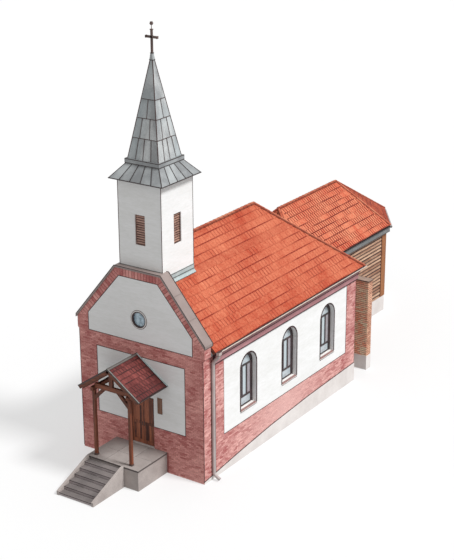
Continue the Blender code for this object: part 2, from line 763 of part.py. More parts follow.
def landing_and_steps():
    box("entrance_landing", (LANDING_LEFT, LANDING_FRONT, 0.0),
        (LANDING_RIGHT, FRONT - TOUCH, FLOOR_TOP), "concrete")
    rise = FLOOR_TOP / RISERS
    back = LANDING_FRONT - TOUCH
    profile = [(back, 0.0), (back, FLOOR_TOP - rise)]
    for i in range(1, RISERS):
        front = LANDING_FRONT - i * TREAD
        profile.append((front, FLOOR_TOP - i * rise))
        profile.append((front, max(FLOOR_TOP - (i + 1) * rise, 0.0)))
    profile.reverse()
    steps = along([profile], STEPS_LEFT + KERB_WIDTH / 2, STEPS_RIGHT - KERB_WIDTH / 2)
    foot = LANDING_FRONT - (RISERS - 1) * TREAD
    kerb = [(back, 0.0), (back, FLOOR_TOP), (back - 0.10, FLOOR_TOP),
            (foot - 0.02, rise + KERB_RISE), (foot - 0.02, 0.0)]
    kerb.reverse()
    for low in (STEPS_LEFT, STEPS_RIGHT - KERB_WIDTH):
        cut(steps, along([kerb], low, low + KERB_WIDTH), "UNION")
    keep(steps, "entrance_steps", "concrete")


# Tower


def tower():
    back = TOWER_FRONT + 2 * TOWER_HALF
    middle = TOWER_FRONT + TOWER_HALF
    inner = TOWER_HALF - TOWER_WALL
    wall_back = FRONT + FRONT_WALL + TOUCH
    foot = GABLE_TOP - COPING_THICK + TOUCH
    walls = block((-TOWER_HALF, TOWER_FRONT, TOWER_BASE), (TOWER_HALF, back, TOWER_TOP))
    cut(walls, block((-inner, wall_back, TOWER_BASE - CUT),
                     (inner, back - TOWER_WALL, TOWER_TOP + CUT)))
    cut(walls, block((-TOWER_HALF - CUT, TOWER_FRONT - CUT, TOWER_BASE - CUT),
                     (TOWER_HALF + CUT, wall_back, foot)))
    cut(walls, block((-LOUVRE_HALF, TOWER_FRONT - CUT, LOUVRE_BOTTOM),
                     (LOUVRE_HALF, back + CUT, LOUVRE_TOP)))
    cut(walls, block((-TOWER_HALF - CUT, middle - LOUVRE_HALF, LOUVRE_BOTTOM),
                     (TOWER_HALF + CUT, middle + LOUVRE_HALF, LOUVRE_TOP)))
    keep(walls, "tower_walls", "plaster")
    half = LOUVRE_HALF - TOUCH
    face = TOWER_HALF - LOUVRE_SET_BACK
    for turn, name in enumerate(("right", "rear", "left", "front")):
        louvre = block((face - LOUVRE_THICK, -half, LOUVRE_BOTTOM + TOUCH),
                       (face, half, LOUVRE_TOP - TOUCH))
        spin = Matrix.Rotation(turn * math.pi / 2, 4, "Z")
        louvre.matrix_world = Matrix.Translation((0.0, middle, 0.0)) @ spin @ louvre.matrix_world
        keep(louvre, f"tower_louvre_{name}", "louvre")
    reach = NAVE_HALF - WALL - TOUCH
    box("tower_beam", (-reach, back - TOWER_WALL, TOWER_BASE - TOUCH - BEAM_DEPTH),
        (reach, back, TOWER_BASE - TOUCH), "timber")
    skirt = frustum(SKIRT_HALF, SKIRT_TOP_HALF, TOWER_TOP + TOUCH, SKIRT_TOP)
    cut(skirt, frustum(COLLAR_HALF, COLLAR_HALF, SKIRT_TOP - 0.04, COLLAR_TOP), "UNION")
    for obj, name in ((skirt, "tower_skirt_roof"), (spire_shell(), "spire")):
        obj.location.y = middle
        keep(obj, name, "sheet_metal")
    cross(middle)


def spire_shell():
    spire = thickened(frustum(SPIRE_HALF, SPIRE_TOP_HALF, COLLAR_TOP + TOUCH, SPIRE_TOP,
                              capped=False), SPIRE_SHEET)
    return cut(spire, block((-COLLAR_HALF, -COLLAR_HALF, COLLAR_TOP - CUT),
                            (COLLAR_HALF, COLLAR_HALF, COLLAR_TOP + TOUCH)))


def cross(middle):
    half = CROSS_BAR / 2
    shaft = frustum(FINIAL_HALF, FINIAL_HALF * 0.6, SPIRE_TOP + TOUCH, FINIAL_TOP)
    shaft.location.y = middle
    cut(shaft, block((-half, middle - half, FINIAL_TOP - half), (half, middle + half, CROSS_TOP)),
        "UNION")
    cut(shaft, block((-CROSS_ARM_HALF, middle - half, CROSS_ARM_Z - half),
                     (CROSS_ARM_HALF, middle + half, CROSS_ARM_Z + half)), "UNION")
    rod = STAR_ROD_HALF
    cut(shaft, block((-rod, middle - rod, CROSS_TOP - half), (rod, middle + rod, STAR_Z)), "UNION")
    bpy.ops.mesh.primitive_ico_sphere_add(subdivisions=2, radius=STAR_RADIUS,
                                          location=(0.0, middle, STAR_Z))
    cut(shaft, bpy.context.object, "UNION")
    keep(shaft, "spire_cross", "iron")


# Annex and yard wall


def annex():
    eaves = [(x, FRONT + y) for x, y in ANNEX_EAVES]
    ridge_x, ridge_z = ANNEX_RIDGE
    near, far = (ridge_x, ANNEX_RIDGE_NEAR, ridge_z), (ridge_x, ANNEX_RIDGE_FAR, ridge_z)
    corner = [(x, y, ANNEX_EAVE_Z) for x, y in eaves]
    faces = [(corner[0], corner[1], far, near), (corner[1], corner[2], far),
             (corner[2], corner[3], far), (corner[3], corner[4], far),
             (corner[4], corner[5], near, far), (corner[5], corner[0], near)]
    roof = keep(shell(faces, ANNEX_ROOF_THICK), "annex_roof", "orange_tile")
    top = min(vert.co.z for vert in roof.data.vertices) - TOUCH
    start = REAR + TOUCH
    path = [(eaves[0][0], start)] + eaves[1:5] + [(eaves[5][0], start)]
    outer = inset(path, ANNEX_OVERHANG, closed=False)
    inner = inset(outer, ANNEX_WALL, closed=False)
    inner[0] = (inner[0][0], start + ANNEX_WALL)
    inner[-1] = (inner[-1][0], start + ANNEX_WALL)
    keep(flat([outer, inner], 0.0, top), "annex_walls", "boards")
    lip = inset(path, EAVES_BOX_INSET, closed=False)
    wall_face = inset(path, ANNEX_OVERHANG - TOUCH, closed=False)
    keep(flat([lip + list(reversed(wall_face))], top - EAVES_BOX_DEPTH, top),
         "annex_eaves_box", "sheet_metal")
    return top - EAVES_BOX_DEPTH


def yard_wall(eaves_bottom):
    """A wall from the annex to a free end, notched under the annex's eaves."""
    start = ANNEX_OVERHANG + TOUCH
    wall = block((TOUCH, YARD_WALL_NEAR, 0.0), (YARD_WALL_RIGHT, YARD_WALL_FAR, YARD_WALL_TOP))
    cut(wall, block((-CUT, YARD_WALL_NEAR - CUT, eaves_bottom - TOUCH),
                    (start, YARD_WALL_FAR + CUT, YARD_WALL_TOP + CUT)))
    keep(wall, "yard_wall", "brown_brick")
    box("yard_wall_coping", (start, YARD_WALL_NEAR - YARD_COPING_OUT, YARD_WALL_TOP + TOUCH),
        (YARD_WALL_RIGHT + YARD_COPING_OUT, YARD_WALL_FAR + YARD_COPING_OUT,
         YARD_WALL_TOP + YARD_COPING), "concrete")


nave_floor()
front_walls()
gable_coping()
side_walls()
rear_wall()
nave_roof()
eaves_cornice()
gutters()
downpipes()
side_windows()
oculus()
front_door()
notice_board()
porch()
landing_and_steps()
tower()
yard_wall(annex())
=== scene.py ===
"""Looks of the village church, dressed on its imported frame.

Metres, +Z up. The front faces -Y. Z = 0 is the lowest ground.
"""

import math
import random

import bmesh
import bpy
from mathutils import Matrix, Vector, noise


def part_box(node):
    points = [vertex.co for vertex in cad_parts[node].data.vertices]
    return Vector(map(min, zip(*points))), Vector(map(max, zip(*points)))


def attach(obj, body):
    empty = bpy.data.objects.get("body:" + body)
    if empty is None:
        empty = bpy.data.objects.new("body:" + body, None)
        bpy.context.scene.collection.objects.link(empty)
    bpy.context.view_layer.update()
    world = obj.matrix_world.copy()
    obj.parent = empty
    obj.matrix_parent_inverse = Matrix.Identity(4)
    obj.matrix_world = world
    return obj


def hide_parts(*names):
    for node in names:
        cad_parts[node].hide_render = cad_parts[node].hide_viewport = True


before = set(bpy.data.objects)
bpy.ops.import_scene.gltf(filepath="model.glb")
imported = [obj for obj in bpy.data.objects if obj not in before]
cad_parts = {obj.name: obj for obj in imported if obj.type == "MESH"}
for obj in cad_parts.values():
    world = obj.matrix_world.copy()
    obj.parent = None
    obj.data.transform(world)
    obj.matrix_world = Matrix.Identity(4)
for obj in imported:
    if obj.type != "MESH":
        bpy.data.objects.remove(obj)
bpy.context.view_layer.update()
rng = random.Random(20)

UP = (0, 0, 1)
SIDES = (("right", 1), ("left", -1))
CLEAR = 0.0005               # gap between trim and the solid that it lies on
SUNK = -0.002                # how far brick, plaster and joints reach into the wall

# Places read from the frame
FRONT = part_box("front_gable_wall")[0].y
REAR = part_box("rear_wall")[1].y
NAVE_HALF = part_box("side_wall_right")[1].x
WALL_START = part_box("side_wall_right")[0].y
FLOOR_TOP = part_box("nave_floor")[1].z
ROOF_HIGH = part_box("nave_roof")[1]
TOWER_LOW, TOWER_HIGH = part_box("tower_walls")
TOWER_HALF = TOWER_HIGH.x
TOWER_MIDDLE = (TOWER_LOW.y + TOWER_HIGH.y) / 2

# Nave roof
EAVE_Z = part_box("gutter_right")[1].z
EAVE_HALF = ROOF_HIGH.x
RIDGE_Z = ROOF_HIGH.z
RIDGE_REAR = FRONT + 9.69
ROOF_SLOPE = (RIDGE_Z - EAVE_Z) / EAVE_HALF
TOWER_FOOT_Z = RIDGE_Z - ROOF_SLOPE * TOWER_HALF
COURSE = 0.402
TILE_WIDTH = 0.235
TILE_GAP = 0.005

# Brickwork
BRICK = 0.25
COURSE_HEIGHT = 0.077
JOINT = 0.012
PROUD = 0.010
SOLDIER = {"length": 0.14, "joint": 0.03}

# Front and side panels of plaster
LOWER_PANEL_HALF = 2.565
LOWER_PANEL = (2.23, 5.66)
UPPER_PANEL_HALF = 3.02
UPPER_PANEL_BOTTOM = 6.37
UPPER_PANEL_SHOULDER = 7.26
UPPER_PANEL_TOP = (1.11, 9.49)
DOOR_HALF = 0.73
DOOR_TOP = 3.68
PLINTH_START = 1.552         # beside the landing
EAR_HALF = 3.69
EAR_CORBEL = (6.28, 6.36)
EAR_TOP = (EAR_HALF, 6.948)
GABLE_SHOULDER = (1.292, 9.88)
SIDE_PANEL = (FRONT + 1.64, FRONT + 13.15)
SIDE_PANEL_BOTTOM = 1.93
CORNICE_BOTTOM, CORNICE_TOP = (corner.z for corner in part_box("eaves_cornice"))

# Footings, whose tops follow the ground
NAVE_FOOTING = ((FRONT, 0.10), (-4.2, 0.43), (-1.3, 0.70), (2.4, 0.90), (REAR, 1.02))
FOOTING_TOP = 0.95           # around the annex
YARD_FOOTING_TOP = 0.82
FOOTING_PROUD = 0.022

# Annex
ANNEX_EAVES = ((0.28, 14.15), (0.28, 24.2), (-1.62, 26.95), (-3.52, 26.95), (-5.42, 24.2),
               (-5.42, 14.15))
ANNEX_EAVE_Z = 5.44
ANNEX_RIDGE_X = -2.57
ANNEX_RIDGE_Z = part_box("annex_roof")[1].z
ANNEX_RIDGE = (FRONT + 16.2, FRONT + 22.5)
ANNEX_OVERHANG = 0.28

# Light that reaches each kind of face, as a share of full white
IN_SHADE = 0.49
DEEP_SHADE = 0.31
ON_ROOFS = 1.37
ON_TOPS = 1.18


# Materials


def tint(colour, light=1.0):
    """The surface colour that shows as this screen colour under that much light."""
    def linear(value):
        value /= 255
        return value / 12.92 if value <= 0.04045 else ((value + 0.055) / 1.055) ** 2.4
    return (*(min(linear(value) / light, 0.95) for value in colour), 1.0)


def node(tree, kind, values=(), **settings):
    """A new node. Values may be numbers, colours or other nodes' outputs."""
    made = tree.nodes.new(kind)
    for key, value in settings.items():
        setattr(made, key, value)
    for key, value in dict(values).items():
        if isinstance(value, bpy.types.NodeSocket):
            tree.links.new(value, made.inputs[key])
        else:
            made.inputs[key].default_value = value
    return made


def mix(tree, factor, first, second):
    """Colours mixed by a factor from 0 to 1. Sockets 6 and 7 are the two colours."""
    made = node(tree, "ShaderNodeMix", {0: factor, 6: first, 7: second}, data_type="RGBA")
    return made.outputs[2]


def weighted(tree, parts):
    """0.5 plus each (value - 0.5) times its weight."""
    total = 0.5 - sum(weight for _, weight in parts) / 2
    for value, weight in parts:
        total = node(tree, "ShaderNodeMath", {0: value, 1: weight, 2: total},
                     operation="MULTIPLY_ADD").outputs[0]
    return total


def paint(name, dark, light, lit=1.0, rough=0.85, metallic=0.0, wash=0.9, patch=1.0, grain=30.0,
          speckle=0.6, stretch=(1.0, 1.0, 1.0), tone=0.0, line=None, bump=0.25, depth=0.004,
          fade=None, fade_reach=None):
    """A surface between two colours, with broad washes, fine grain, and where the piece has
    them its blocks' own tones and dark lines. A fade colour comes in by a second wash, or up
    to a reach along Y from the middle. A colour is one on screen, under the light that lit
    names, or with a fourth number the surface's own."""
    dark, light, line, fade = (tint(colour, lit) if colour and len(colour) == 3 else colour
                               for colour in (dark, light, line, fade))
    material = bpy.data.materials.new(name)
    material.use_nodes = True
    tree = material.node_tree
    shader = tree.nodes["Principled BSDF"]
    shader.inputs["Roughness"].default_value = rough
    shader.inputs["Metallic"].default_value = metallic
    place = node(tree, "ShaderNodeTexCoord").outputs["Object"]
    place = node(tree, "ShaderNodeMapping", {"Vector": place, "Scale": stretch}).outputs[0]

    def clouds(scale, detail, roughness):
        return node(tree, "ShaderNodeTexNoise", {"Vector": place, "Scale": scale, "Detail": detail,
                                                 "Roughness": roughness}).outputs[0]

    def stored(attribute):
        return node(tree, "ShaderNodeAttribute", attribute_name=attribute).outputs["Fac"]
    broad = clouds(wash, 4.0, 0.6)
    fine = clouds(grain, 5.0, 0.65)
    parts = [(broad, patch * 2.0), (fine, speckle * 2.0)]
    if tone:
        parts.append((stored("tone"), tone))
    colour = mix(tree, weighted(tree, parts), dark, light)
    if fade:
        if fade_reach:
            along = node(tree, "ShaderNodeSeparateXYZ", {0: place}).outputs["Y"]
            off = node(tree, "ShaderNodeMath", {0: along}, operation="ABSOLUTE").outputs[0]
            ends = {0: off, 1: fade_reach, 2: 0.0, 3: 0.0, 4: 0.85}
        else:
            ends = {0: clouds(wash * 0.35, 2.0, 0.5), 1: 0.42, 2: 0.68, 3: 0.0, 4: 0.75}
        share = node(tree, "ShaderNodeMapRange", ends).outputs[0]
        colour = mix(tree, share, colour, fade)
    if line:
        colour = mix(tree, stored("line"), colour, line)
    tree.links.new(colour, shader.inputs["Base Color"])
    relief = node(tree, "ShaderNodeBump", {"Height": fine, "Strength": bump, "Distance": depth})
    tree.links.new(relief.outputs[0], shader.inputs["Normal"])
    return material


def wood(name, dark, light, lit, axis, line=None, tone=0.6):
    """Stained timber with its grain along one axis."""
    stretch = [9.0, 9.0, 9.0]
    stretch["XYZ".index(axis)] = 0.7
    return paint(name, dark, light, lit, rough=0.7, wash=0.8, patch=1.1, grain=4.0, speckle=1.1,
                 stretch=stretch, tone=tone, line=line, bump=0.5)


mortar = paint("mortar", (140, 74, 72), (172, 104, 98), patch=0.6)
brick = paint("brick", (182, 98, 95), (242, 176, 167), speckle=0.8, tone=0.9, grain=16.0)
# Paler copies of the brick and its mortar for the sunlit long sides, also used on the rear: painted
# light. The side brick turns paler still towards the middle of each side.
side_mortar = paint("side_mortar", (158, 88, 86), (184, 116, 110), patch=0.6)
side_brick = paint("side_brick", (176, 98, 96), (240, 186, 178), patch=0.9, speckle=0.7, tone=1.1,
                   wash=0.7, grain=22.0, fade=(240, 193, 186), fade_reach=4.6)
brown_mortar = paint("brown_mortar", (88, 46, 36), (116, 66, 50), patch=0.6)
brown_brick = paint("brown_brick", (172, 112, 88), (236, 184, 154), patch=0.8, tone=1.0,
                    grain=22.0)
# A lighter copy of the brown brick for the yard wall's front, which lies in the nave's shade: painted
# light.
shaded_brick = paint("shaded_brick", (148, 99, 80), (172, 136, 116), DEEP_SHADE, patch=0.4,
                     tone=1.4, speckle=0.7, grain=18.0)
# Darker pinkish paint on the outer half of each window sill: painted shade.
sill_shade_paint = paint("sill_shade_paint", (158, 116, 112), (196, 158, 152), 1.3, wash=1.6, patch=0.8,
                   grain=18.0)
plaster = paint("plaster", (238, 238, 236), (255, 255, 254), wash=0.5, patch=0.9, grain=3.2,
                speckle=1.0, stretch=(1.0, 1.0, 4.0), rough=0.9, bump=0.2, depth=0.008)
trim_line = paint("trim_line", (56, 32, 30), (80, 48, 44), grain=12.0)
band_paint = paint("band_paint", (40, 26, 28), (72, 50, 50), grain=12.0)
CAST = {"wash": 1.1, "patch": 0.9, "speckle": 0.9, "tone": 0.5, "bump": 0.5, "depth": 0.003}
# The landing's concrete is a lighter copy of the steps', against the porch roof's shadow on it, and
# the risers' copy is lighter for their faces in shade: both painted light.
concrete = paint("concrete", (156, 146, 142), (190, 181, 176), ON_TOPS, line=(54, 42, 42), **CAST)
shaded_concrete = paint("shaded_concrete", (106, 98, 98), (146, 137, 137), IN_SHADE,
                        line=(50, 40, 40), **CAST)
step_concrete = paint("step_concrete", (108, 101, 100), (146, 137, 135), ON_TOPS,
                      line=(50, 40, 40), **CAST)
side_concrete = paint("side_concrete", (152, 142, 138), (188, 178, 173), line=(84, 66, 62), **CAST)
footing = paint("footing", (214, 206, 202), (240, 234, 231), patch=0.9, tone=0.3, bump=0.4,
                line=(150, 118, 108))
wall_coping = paint("wall_coping", (142, 118, 105), (185, 161, 146), 1.1, wash=1.4, patch=0.9,
                    tone=0.5, line=tint((84, 60, 52)))
stone = paint("stone", (222, 218, 214), (248, 245, 242), wash=1.4, patch=0.8, line=(84, 62, 58))
floor_tile = paint("floor_tile", (150, 130, 118), (184, 162, 148), wash=1.4, tone=0.8)
cornice_paint = paint("cornice_paint", (156, 104, 108), (200, 148, 152), wash=0.8, patch=0.9,
                      tone=0.6, line=(58, 28, 32))
TILED = {"wash": 0.5, "patch": 0.8, "speckle": 0.9, "tone": 0.4, "grain": 11.0, "bump": 0.35}
orange_tile = paint("orange_tile", (204, 79, 45), (248, 145, 106), ON_ROOFS, line=(156, 36, 8),
                    **(TILED | {"tone": 0.26}))
annex_tile = paint("annex_tile", (230, 92, 58), (255, 162, 121), ON_ROOFS, line=(128, 18, 4),
                   **TILED)
# A darker copy of the annex tile for its two far hips: painted shade.
shaded_tile = paint("shaded_tile", (172, 58, 28), (226, 111, 71), ON_ROOFS, line=(112, 16, 4),
                    **(TILED | {"patch": 0.9, "speckle": 0.8, "grain": 14.0}))
tile_cap = paint("tile_cap", (206, 92, 62), (248, 160, 122), ON_ROOFS, wash=0.8, patch=0.7,
                 tone=0.7, grain=14.0, line=(126, 36, 14))
crimson_tile = paint("crimson_tile", (108, 38, 36), (162, 80, 74), ON_ROOFS, wash=1.2, patch=0.8,
                     speckle=0.5, tone=0.9, grain=14.0, line=(58, 20, 20), rough=0.7)
timbers = {axis: wood(f"timber_{axis.lower()}", (48, 20, 9), (100, 52, 30), IN_SHADE, axis,
                      line=(34, 20, 18)) for axis in "XYZ"}
board_wood = wood("board_wood", (60, 38, 27), (102, 73, 57), IN_SHADE, "Z", line=(34, 20, 18))
door_wood = wood("door_wood", (50, 24, 18), (124, 72, 50), IN_SHADE, "Z", (34, 18, 14), 1.3)
boards = wood("boards_y", (142, 96, 72), (214, 176, 146), 1.0, "Y", (66, 38, 30), 0.9)
post_wood = wood("post_wood", (126, 68, 34), (174, 115, 69), 1.0, "Z", (88, 50, 34), 0.5)
slat_wood = wood("slat_wood", (110, 75, 65), (178, 137, 119), 1.0, "X", (46, 26, 24), 0.45)
# A lighter copy of the slat wood for the louvres that face away from the sun: painted light.
shaded_slat = wood("shaded_slat", (114, 86, 76), (158, 126, 114), IN_SHADE, "X", (56, 38, 34),
                   0.45)
SHEET = {"rough": 0.5, "patch": 0.9, "wash": 1.4}
coping_sheet = paint("coping_sheet", (164, 146, 141), (193, 176, 170), ON_ROOFS, rough=0.55,
                     wash=0.8, patch=0.9, speckle=0.4, tone=0.3, bump=0.06, line=(66, 46, 44))
spire_sheet = paint("spire_sheet", (154, 156, 157), (212, 215, 215), 1.1, rough=0.5, wash=1.6,
                    patch=1.5, speckle=0.8, tone=0.8, bump=0.05, line=tint((66, 44, 42)),
                    stretch=(1.0, 1.0, 0.5), fade=tint((168, 182, 186)))
skirt_sheet = paint("skirt_sheet", (146, 149, 151), (196, 201, 202), 1.25, rough=0.5, wash=1.2,
                    patch=1.2, speckle=0.5, tone=0.8, bump=0.05, line=tint((58, 48, 48)))
fascia_sheet = paint("fascia_sheet", (90, 93, 94), (129, 131, 130), speckle=0.3,
                     line=(44, 42, 46), **SHEET)
flashing_sheet = paint("flashing_sheet", (158, 173, 175), (196, 207, 206), speckle=0.4,
                       line=(70, 66, 66), **SHEET)
porch_sheet = paint("porch_sheet", (128, 126, 122), (168, 166, 160), ON_ROOFS, speckle=0.4,
                    line=tint((54, 34, 32)), **SHEET)
gutter_sheet = paint("gutter_sheet", (168, 154, 148), (202, 188, 182), rough=0.5, wash=1.5,
                     patch=0.8, speckle=0.3, line=(238, 222, 202))
gutter_line = paint("gutter_line", (62, 42, 42), (88, 64, 62), rough=0.5, bump=0.0)
gutter_lip = paint("gutter_lip", (206, 190, 177), (236, 220, 206), rough=0.5, bump=0.0)
pipe_sheet = paint("pipe_sheet", (168, 156, 154), (202, 190, 187), rough=0.5, wash=1.5,
                   patch=0.8, speckle=0.3, line=(52, 38, 38))
iron = paint("iron", (52, 38, 36), (104, 84, 78), 0.8, rough=0.6, metallic=0.2, wash=3.0,
             grain=40.0, bump=0.3, depth=0.002)
frame_paint = paint("frame_paint", (50, 40, 42), (88, 68, 68), wash=2.0, grain=18.0, rough=0.5,
                    bump=0.1, tone=0.6, line=(34, 24, 28))
glass = paint("glazing", (160, 146, 152), (186, 200, 206), 0.95, rough=0.12, wash=1.8, patch=0.6,
              speckle=0.3, tone=1.0, bump=0.02)
glass.node_tree.nodes["Principled BSDF"].inputs["Coat Weight"].default_value = 0.6
oculus_glass = paint("oculus_glazing", (86, 104, 116), (150, 168, 178), IN_SHADE, rough=0.15,
                     wash=5.0, patch=1.6, speckle=0.3, bump=0.02)


# Meshes


class Plane:
    """A flat face of the building: u and v run along it, v made square to u, and n points out
    of it."""

    def __init__(self, origin, u, v):
        self.origin, u, v = Vector(origin), Vector(u), Vector(v)
        self.u = u.normalized()
        self.v = (v - self.u * v.dot(self.u)).normalized()
        self.n = self.u.cross(self.v)

    def at(self, u, v, n=0.0):
        return self.origin + self.u * u + self.v * v + self.n * n

    def flat(self, point):
        """The u and v of a point."""
        offset = Vector(point) - self.origin
        return offset.dot(self.u), offset.dot(self.v)


def upright(place, x, y):
    """The upright plane that faces the level direction x, y."""
    return Plane(place, (-y, x, 0), UP)


def outwards(mesh, weld=0.0):
    """Turn a mesh's faces outwards, once its points that are that close are one."""
    work = bmesh.new()
    work.from_mesh(mesh)
    if weld:
        bmesh.ops.remove_doubles(work, verts=work.verts, dist=weld)
    bmesh.ops.recalc_face_normals(work, faces=work.faces)
    work.to_mesh(mesh)
    work.free()


def place_in_scene(name, data):
    obj = bpy.data.objects.new(name, data)
    bpy.context.scene.collection.objects.link(obj)
    return obj


class Blocks:
    """Many small closed solids in one mesh. Each face has a tone, a line value and a slot."""

    def __init__(self):
        self.points = []
        self.faces = []
        self.looks = []

    def add(self, points, faces, tone=0.5, line=0.0, slot=0):
        start = len(self.points)
        self.points.extend(points)
        lines, slots = (value if isinstance(value, (list, tuple)) else [value] * len(faces)
                        for value in (line, slot))
        for face, mark, index in zip(faces, lines, slots):
            self.faces.append([start + i for i in face])
            self.looks.append((tone, mark, index))

    def piece(self, name, slot, materials, body="building", replaces=(), bevel=0.0, smooth=None):
        mesh = bpy.data.meshes.new(name)
        mesh.from_pydata(self.points, [], self.faces)
        for index, attribute in enumerate(("tone", "line")):
            layer = mesh.attributes.new(attribute, "FLOAT", "FACE")
            layer.data.foreach_set("value", [look[index] for look in self.looks])
        obj = dress(place_in_scene(name, mesh), name, materials, body, replaces, bevel)
        mesh.polygons.foreach_set("material_index", [look[2] for look in self.looks])
        outwards(mesh)
        if smooth is not None:
            mesh.shade_smooth()
            mesh.set_sharp_from_angle(angle=math.radians(smooth))
        return obj


def dress(obj, name, materials, body="building", replaces=(), bevel=0.0):
    """Name a piece, give it its materials and edges, and fix it to its body."""
    obj.name = name
    obj.data.name = name
    for material in materials:
        obj.data.materials.append(material)
    if bevel:
        edge = obj.modifiers.new("edge", "BEVEL")
        edge.width = bevel
        edge.segments = 2
        edge.limit_method = "ANGLE"
        edge.angle_limit = math.radians(40)
    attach(obj, body)
    if replaces:
        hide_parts(*replaces)
    return obj


def clip(shape, region):
    """The part of a convex shape inside a convex region, both anticlockwise."""
    for i, (ax, ay) in enumerate(region):
        bx, by = region[(i + 1) % len(region)]
        kept = []
        for j, q in enumerate(shape):
            p = shape[j - 1]
            dp, dq = ((bx - ax) * (y - ay) - (by - ay) * (x - ax) for x, y in (p, q))
            if (dp < 0) != (dq < 0):
                t = dp / (dp - dq)
                kept.append((p[0] + (q[0] - p[0]) * t, p[1] + (q[1] - p[1]) * t))
            if dq >= 0:
                kept.append(q)
        shape = kept
        if len(shape) < 3:
            return []
    return shape


def area(shape):
    return sum(shape[i - 1][0] * q[1] - q[0] * shape[i - 1][1] for i, q in enumerate(shape)) / 2


def rectangle(left, right, bottom, top):
    """Its corners. The first two numbers may come in either order."""
    left, right = sorted((left, right))
    return [(left, bottom), (right, bottom), (right, top), (left, top)]


def frame_bars(left, right, bottom, top, rim, foot=None, head=None):
    """Two stiles and two rails around a rectangle."""
    foot, head = foot or rim, head or rim
    return [rectangle(left, left + rim, bottom, top), rectangle(right - rim, right, bottom, top),
            rectangle(left + rim, right - rim, bottom, bottom + foot),
            rectangle(left + rim, right - rim, top - head, top)]


def circle(centre, radius, steps=48):
    return [(centre[0] + radius * math.cos(2 * math.pi * i / steps),
             centre[1] + radius * math.sin(2 * math.pi * i / steps)) for i in range(steps)]


def half_circle(centre, radius, steps, start=0.0):
    """Points over half a turn from the start angle."""
    angles = [start + math.pi * i / steps for i in range(steps + 1)]
    return [(centre[0] + radius * math.cos(a), centre[1] + radius * math.sin(a)) for a in angles]


def mirror(shape, sign):
    """The shape, or its mirror image in u kept anticlockwise."""
    return shape if sign > 0 else [(-u, v) for u, v in reversed(shape)]


def whole(right):
    """A symmetrical outline from its right half."""
    return right + mirror(right, -1)


def slab(blocks, plane, shape, low, high, **look):
    """A prism on a plane. The height may be a number or a function of u and v."""
    count = len(shape)
    top = [high(u, v) if callable(high) else high for u, v in shape]
    points = [plane.at(u, v, low) for u, v in shape]
    points += [plane.at(u, v, n) for (u, v), n in zip(shape, top)]
    faces = [list(range(count))[::-1], list(range(count, 2 * count))]
    faces += [[i, (i + 1) % count, count + (i + 1) % count, count + i] for i in range(count)]
    blocks.add(points, faces, **look)


def block(blocks, low, high, **look):
    """A box between two corners. Their x may come in either order."""
    floor = Plane((0, 0, 0), (1, 0, 0), (0, 1, 0))
    slab(blocks, floor, rectangle(low[0], high[0], low[1], high[1]), low[2], high[2], **look)


def beam(blocks, start, end, width, thick, across, **look):
    """A straight bar between two points. Its width is square to across, its thickness along it."""
    start, end = Vector(start), Vector(end)
    plane = Plane(start, end - start, Vector(across).cross(end - start))
    slab(blocks, plane, rectangle(0.0, (end - start).length, -width / 2, width / 2),
         -thick / 2, thick / 2, **look)


def loft(blocks, rings, closed=False, **look):
    """A skin over rings of points, with flat ends unless it is closed. A list of looks has one
    for each side of a ring, and the first is the ends' too."""
    size = len(rings[0])
    spans = len(rings) if closed else len(rings) - 1
    faces = []
    for i in range(spans):
        a, b = i * size, (i + 1) % len(rings) * size
        faces += [[a + k, a + (k + 1) % size, b + (k + 1) % size, b + k] for k in range(size)]
    ends = [] if closed else [list(range(size))[::-1], list(range(spans * size, (spans + 1) * size))]
    for key, value in look.items():
        if isinstance(value, list):
            look[key] = value * spans + value[:1] * len(ends)
    blocks.add([point for ring in rings for point in ring], faces + ends, **look)


def tube(blocks, points, radius, sides=12, **look):
    """A round bar through points, with flat ends."""
    points = [Vector(point) for point in points]
    rings = []
    side = None
    for i, point in enumerate(points):
        before = (point - points[i - 1]).normalized() if i else None
        after = (points[i + 1] - point).normalized() if i + 1 < len(points) else None
        along = ((before or after) + (after or before)).normalized()
        side = side or along.orthogonal().normalized()
        side = (side - along * side.dot(along)).normalized()
        other = along.cross(side)
        stretch = 1.0 / max(along.dot(before or after), 0.5)
        bend = ((after or along) - (before or along)).normalized() if before and after else side
        spokes = [side * x + other * y for x, y in circle((0.0, 0.0), 1.0, sides)]
        rings.append([point + (spoke + bend * spoke.dot(bend) * (stretch - 1.0)) * radius
                      for spoke in spokes])
    loft(blocks, rings, **look)


def rounded(points, radius, steps=5):
    """The same run with its corners rounded."""
    points = [Vector(point) for point in points]
    out = [points[0]]
    for last, point, following in zip(points, points[1:], points[2:]):
        reach = min(radius, (last - point).length * 0.45, (following - point).length * 0.45)
        start = point + (last - point).normalized() * reach
        end = point + (following - point).normalized() * reach
        for k in range(steps + 1):
            t = k / steps
            out.append(start * (1 - t) ** 2 + point * 2 * t * (1 - t) + end * t ** 2)
    return out + [points[-1]]


def sweep(blocks, path, profile, closed=False, **look):
    """A closed profile of (out, z) points run along a level path, out to its right-hand side."""
    path = [Vector(point) for point in path]
    runs = [(b - a).normalized() for a, b in zip(path, path[1:] + path[:1])]
    normals = [Vector((run.y, -run.x)) for run in runs]
    if not closed:
        normals[-1] = normals[-2]
    rings = []
    for i, place in enumerate(path):
        first = normals[i - 1] if closed or i else normals[0]
        mitre = (first + normals[i]) / (1.0 + first.dot(normals[i]))
        rings.append([(*(place + mitre * out), z) for out, z in profile])
    loft(blocks, rings, closed, **look)


def turned(blocks, plane, profile, steps=64, **look):
    """A closed profile of (radius, height) points turned about the plane's normal."""
    rings = [[plane.at(r * x, r * y, n) for r, n in profile]
             for x, y in circle((0.0, 0.0), 1.0, steps)]
    loft(blocks, rings, closed=True, **look)


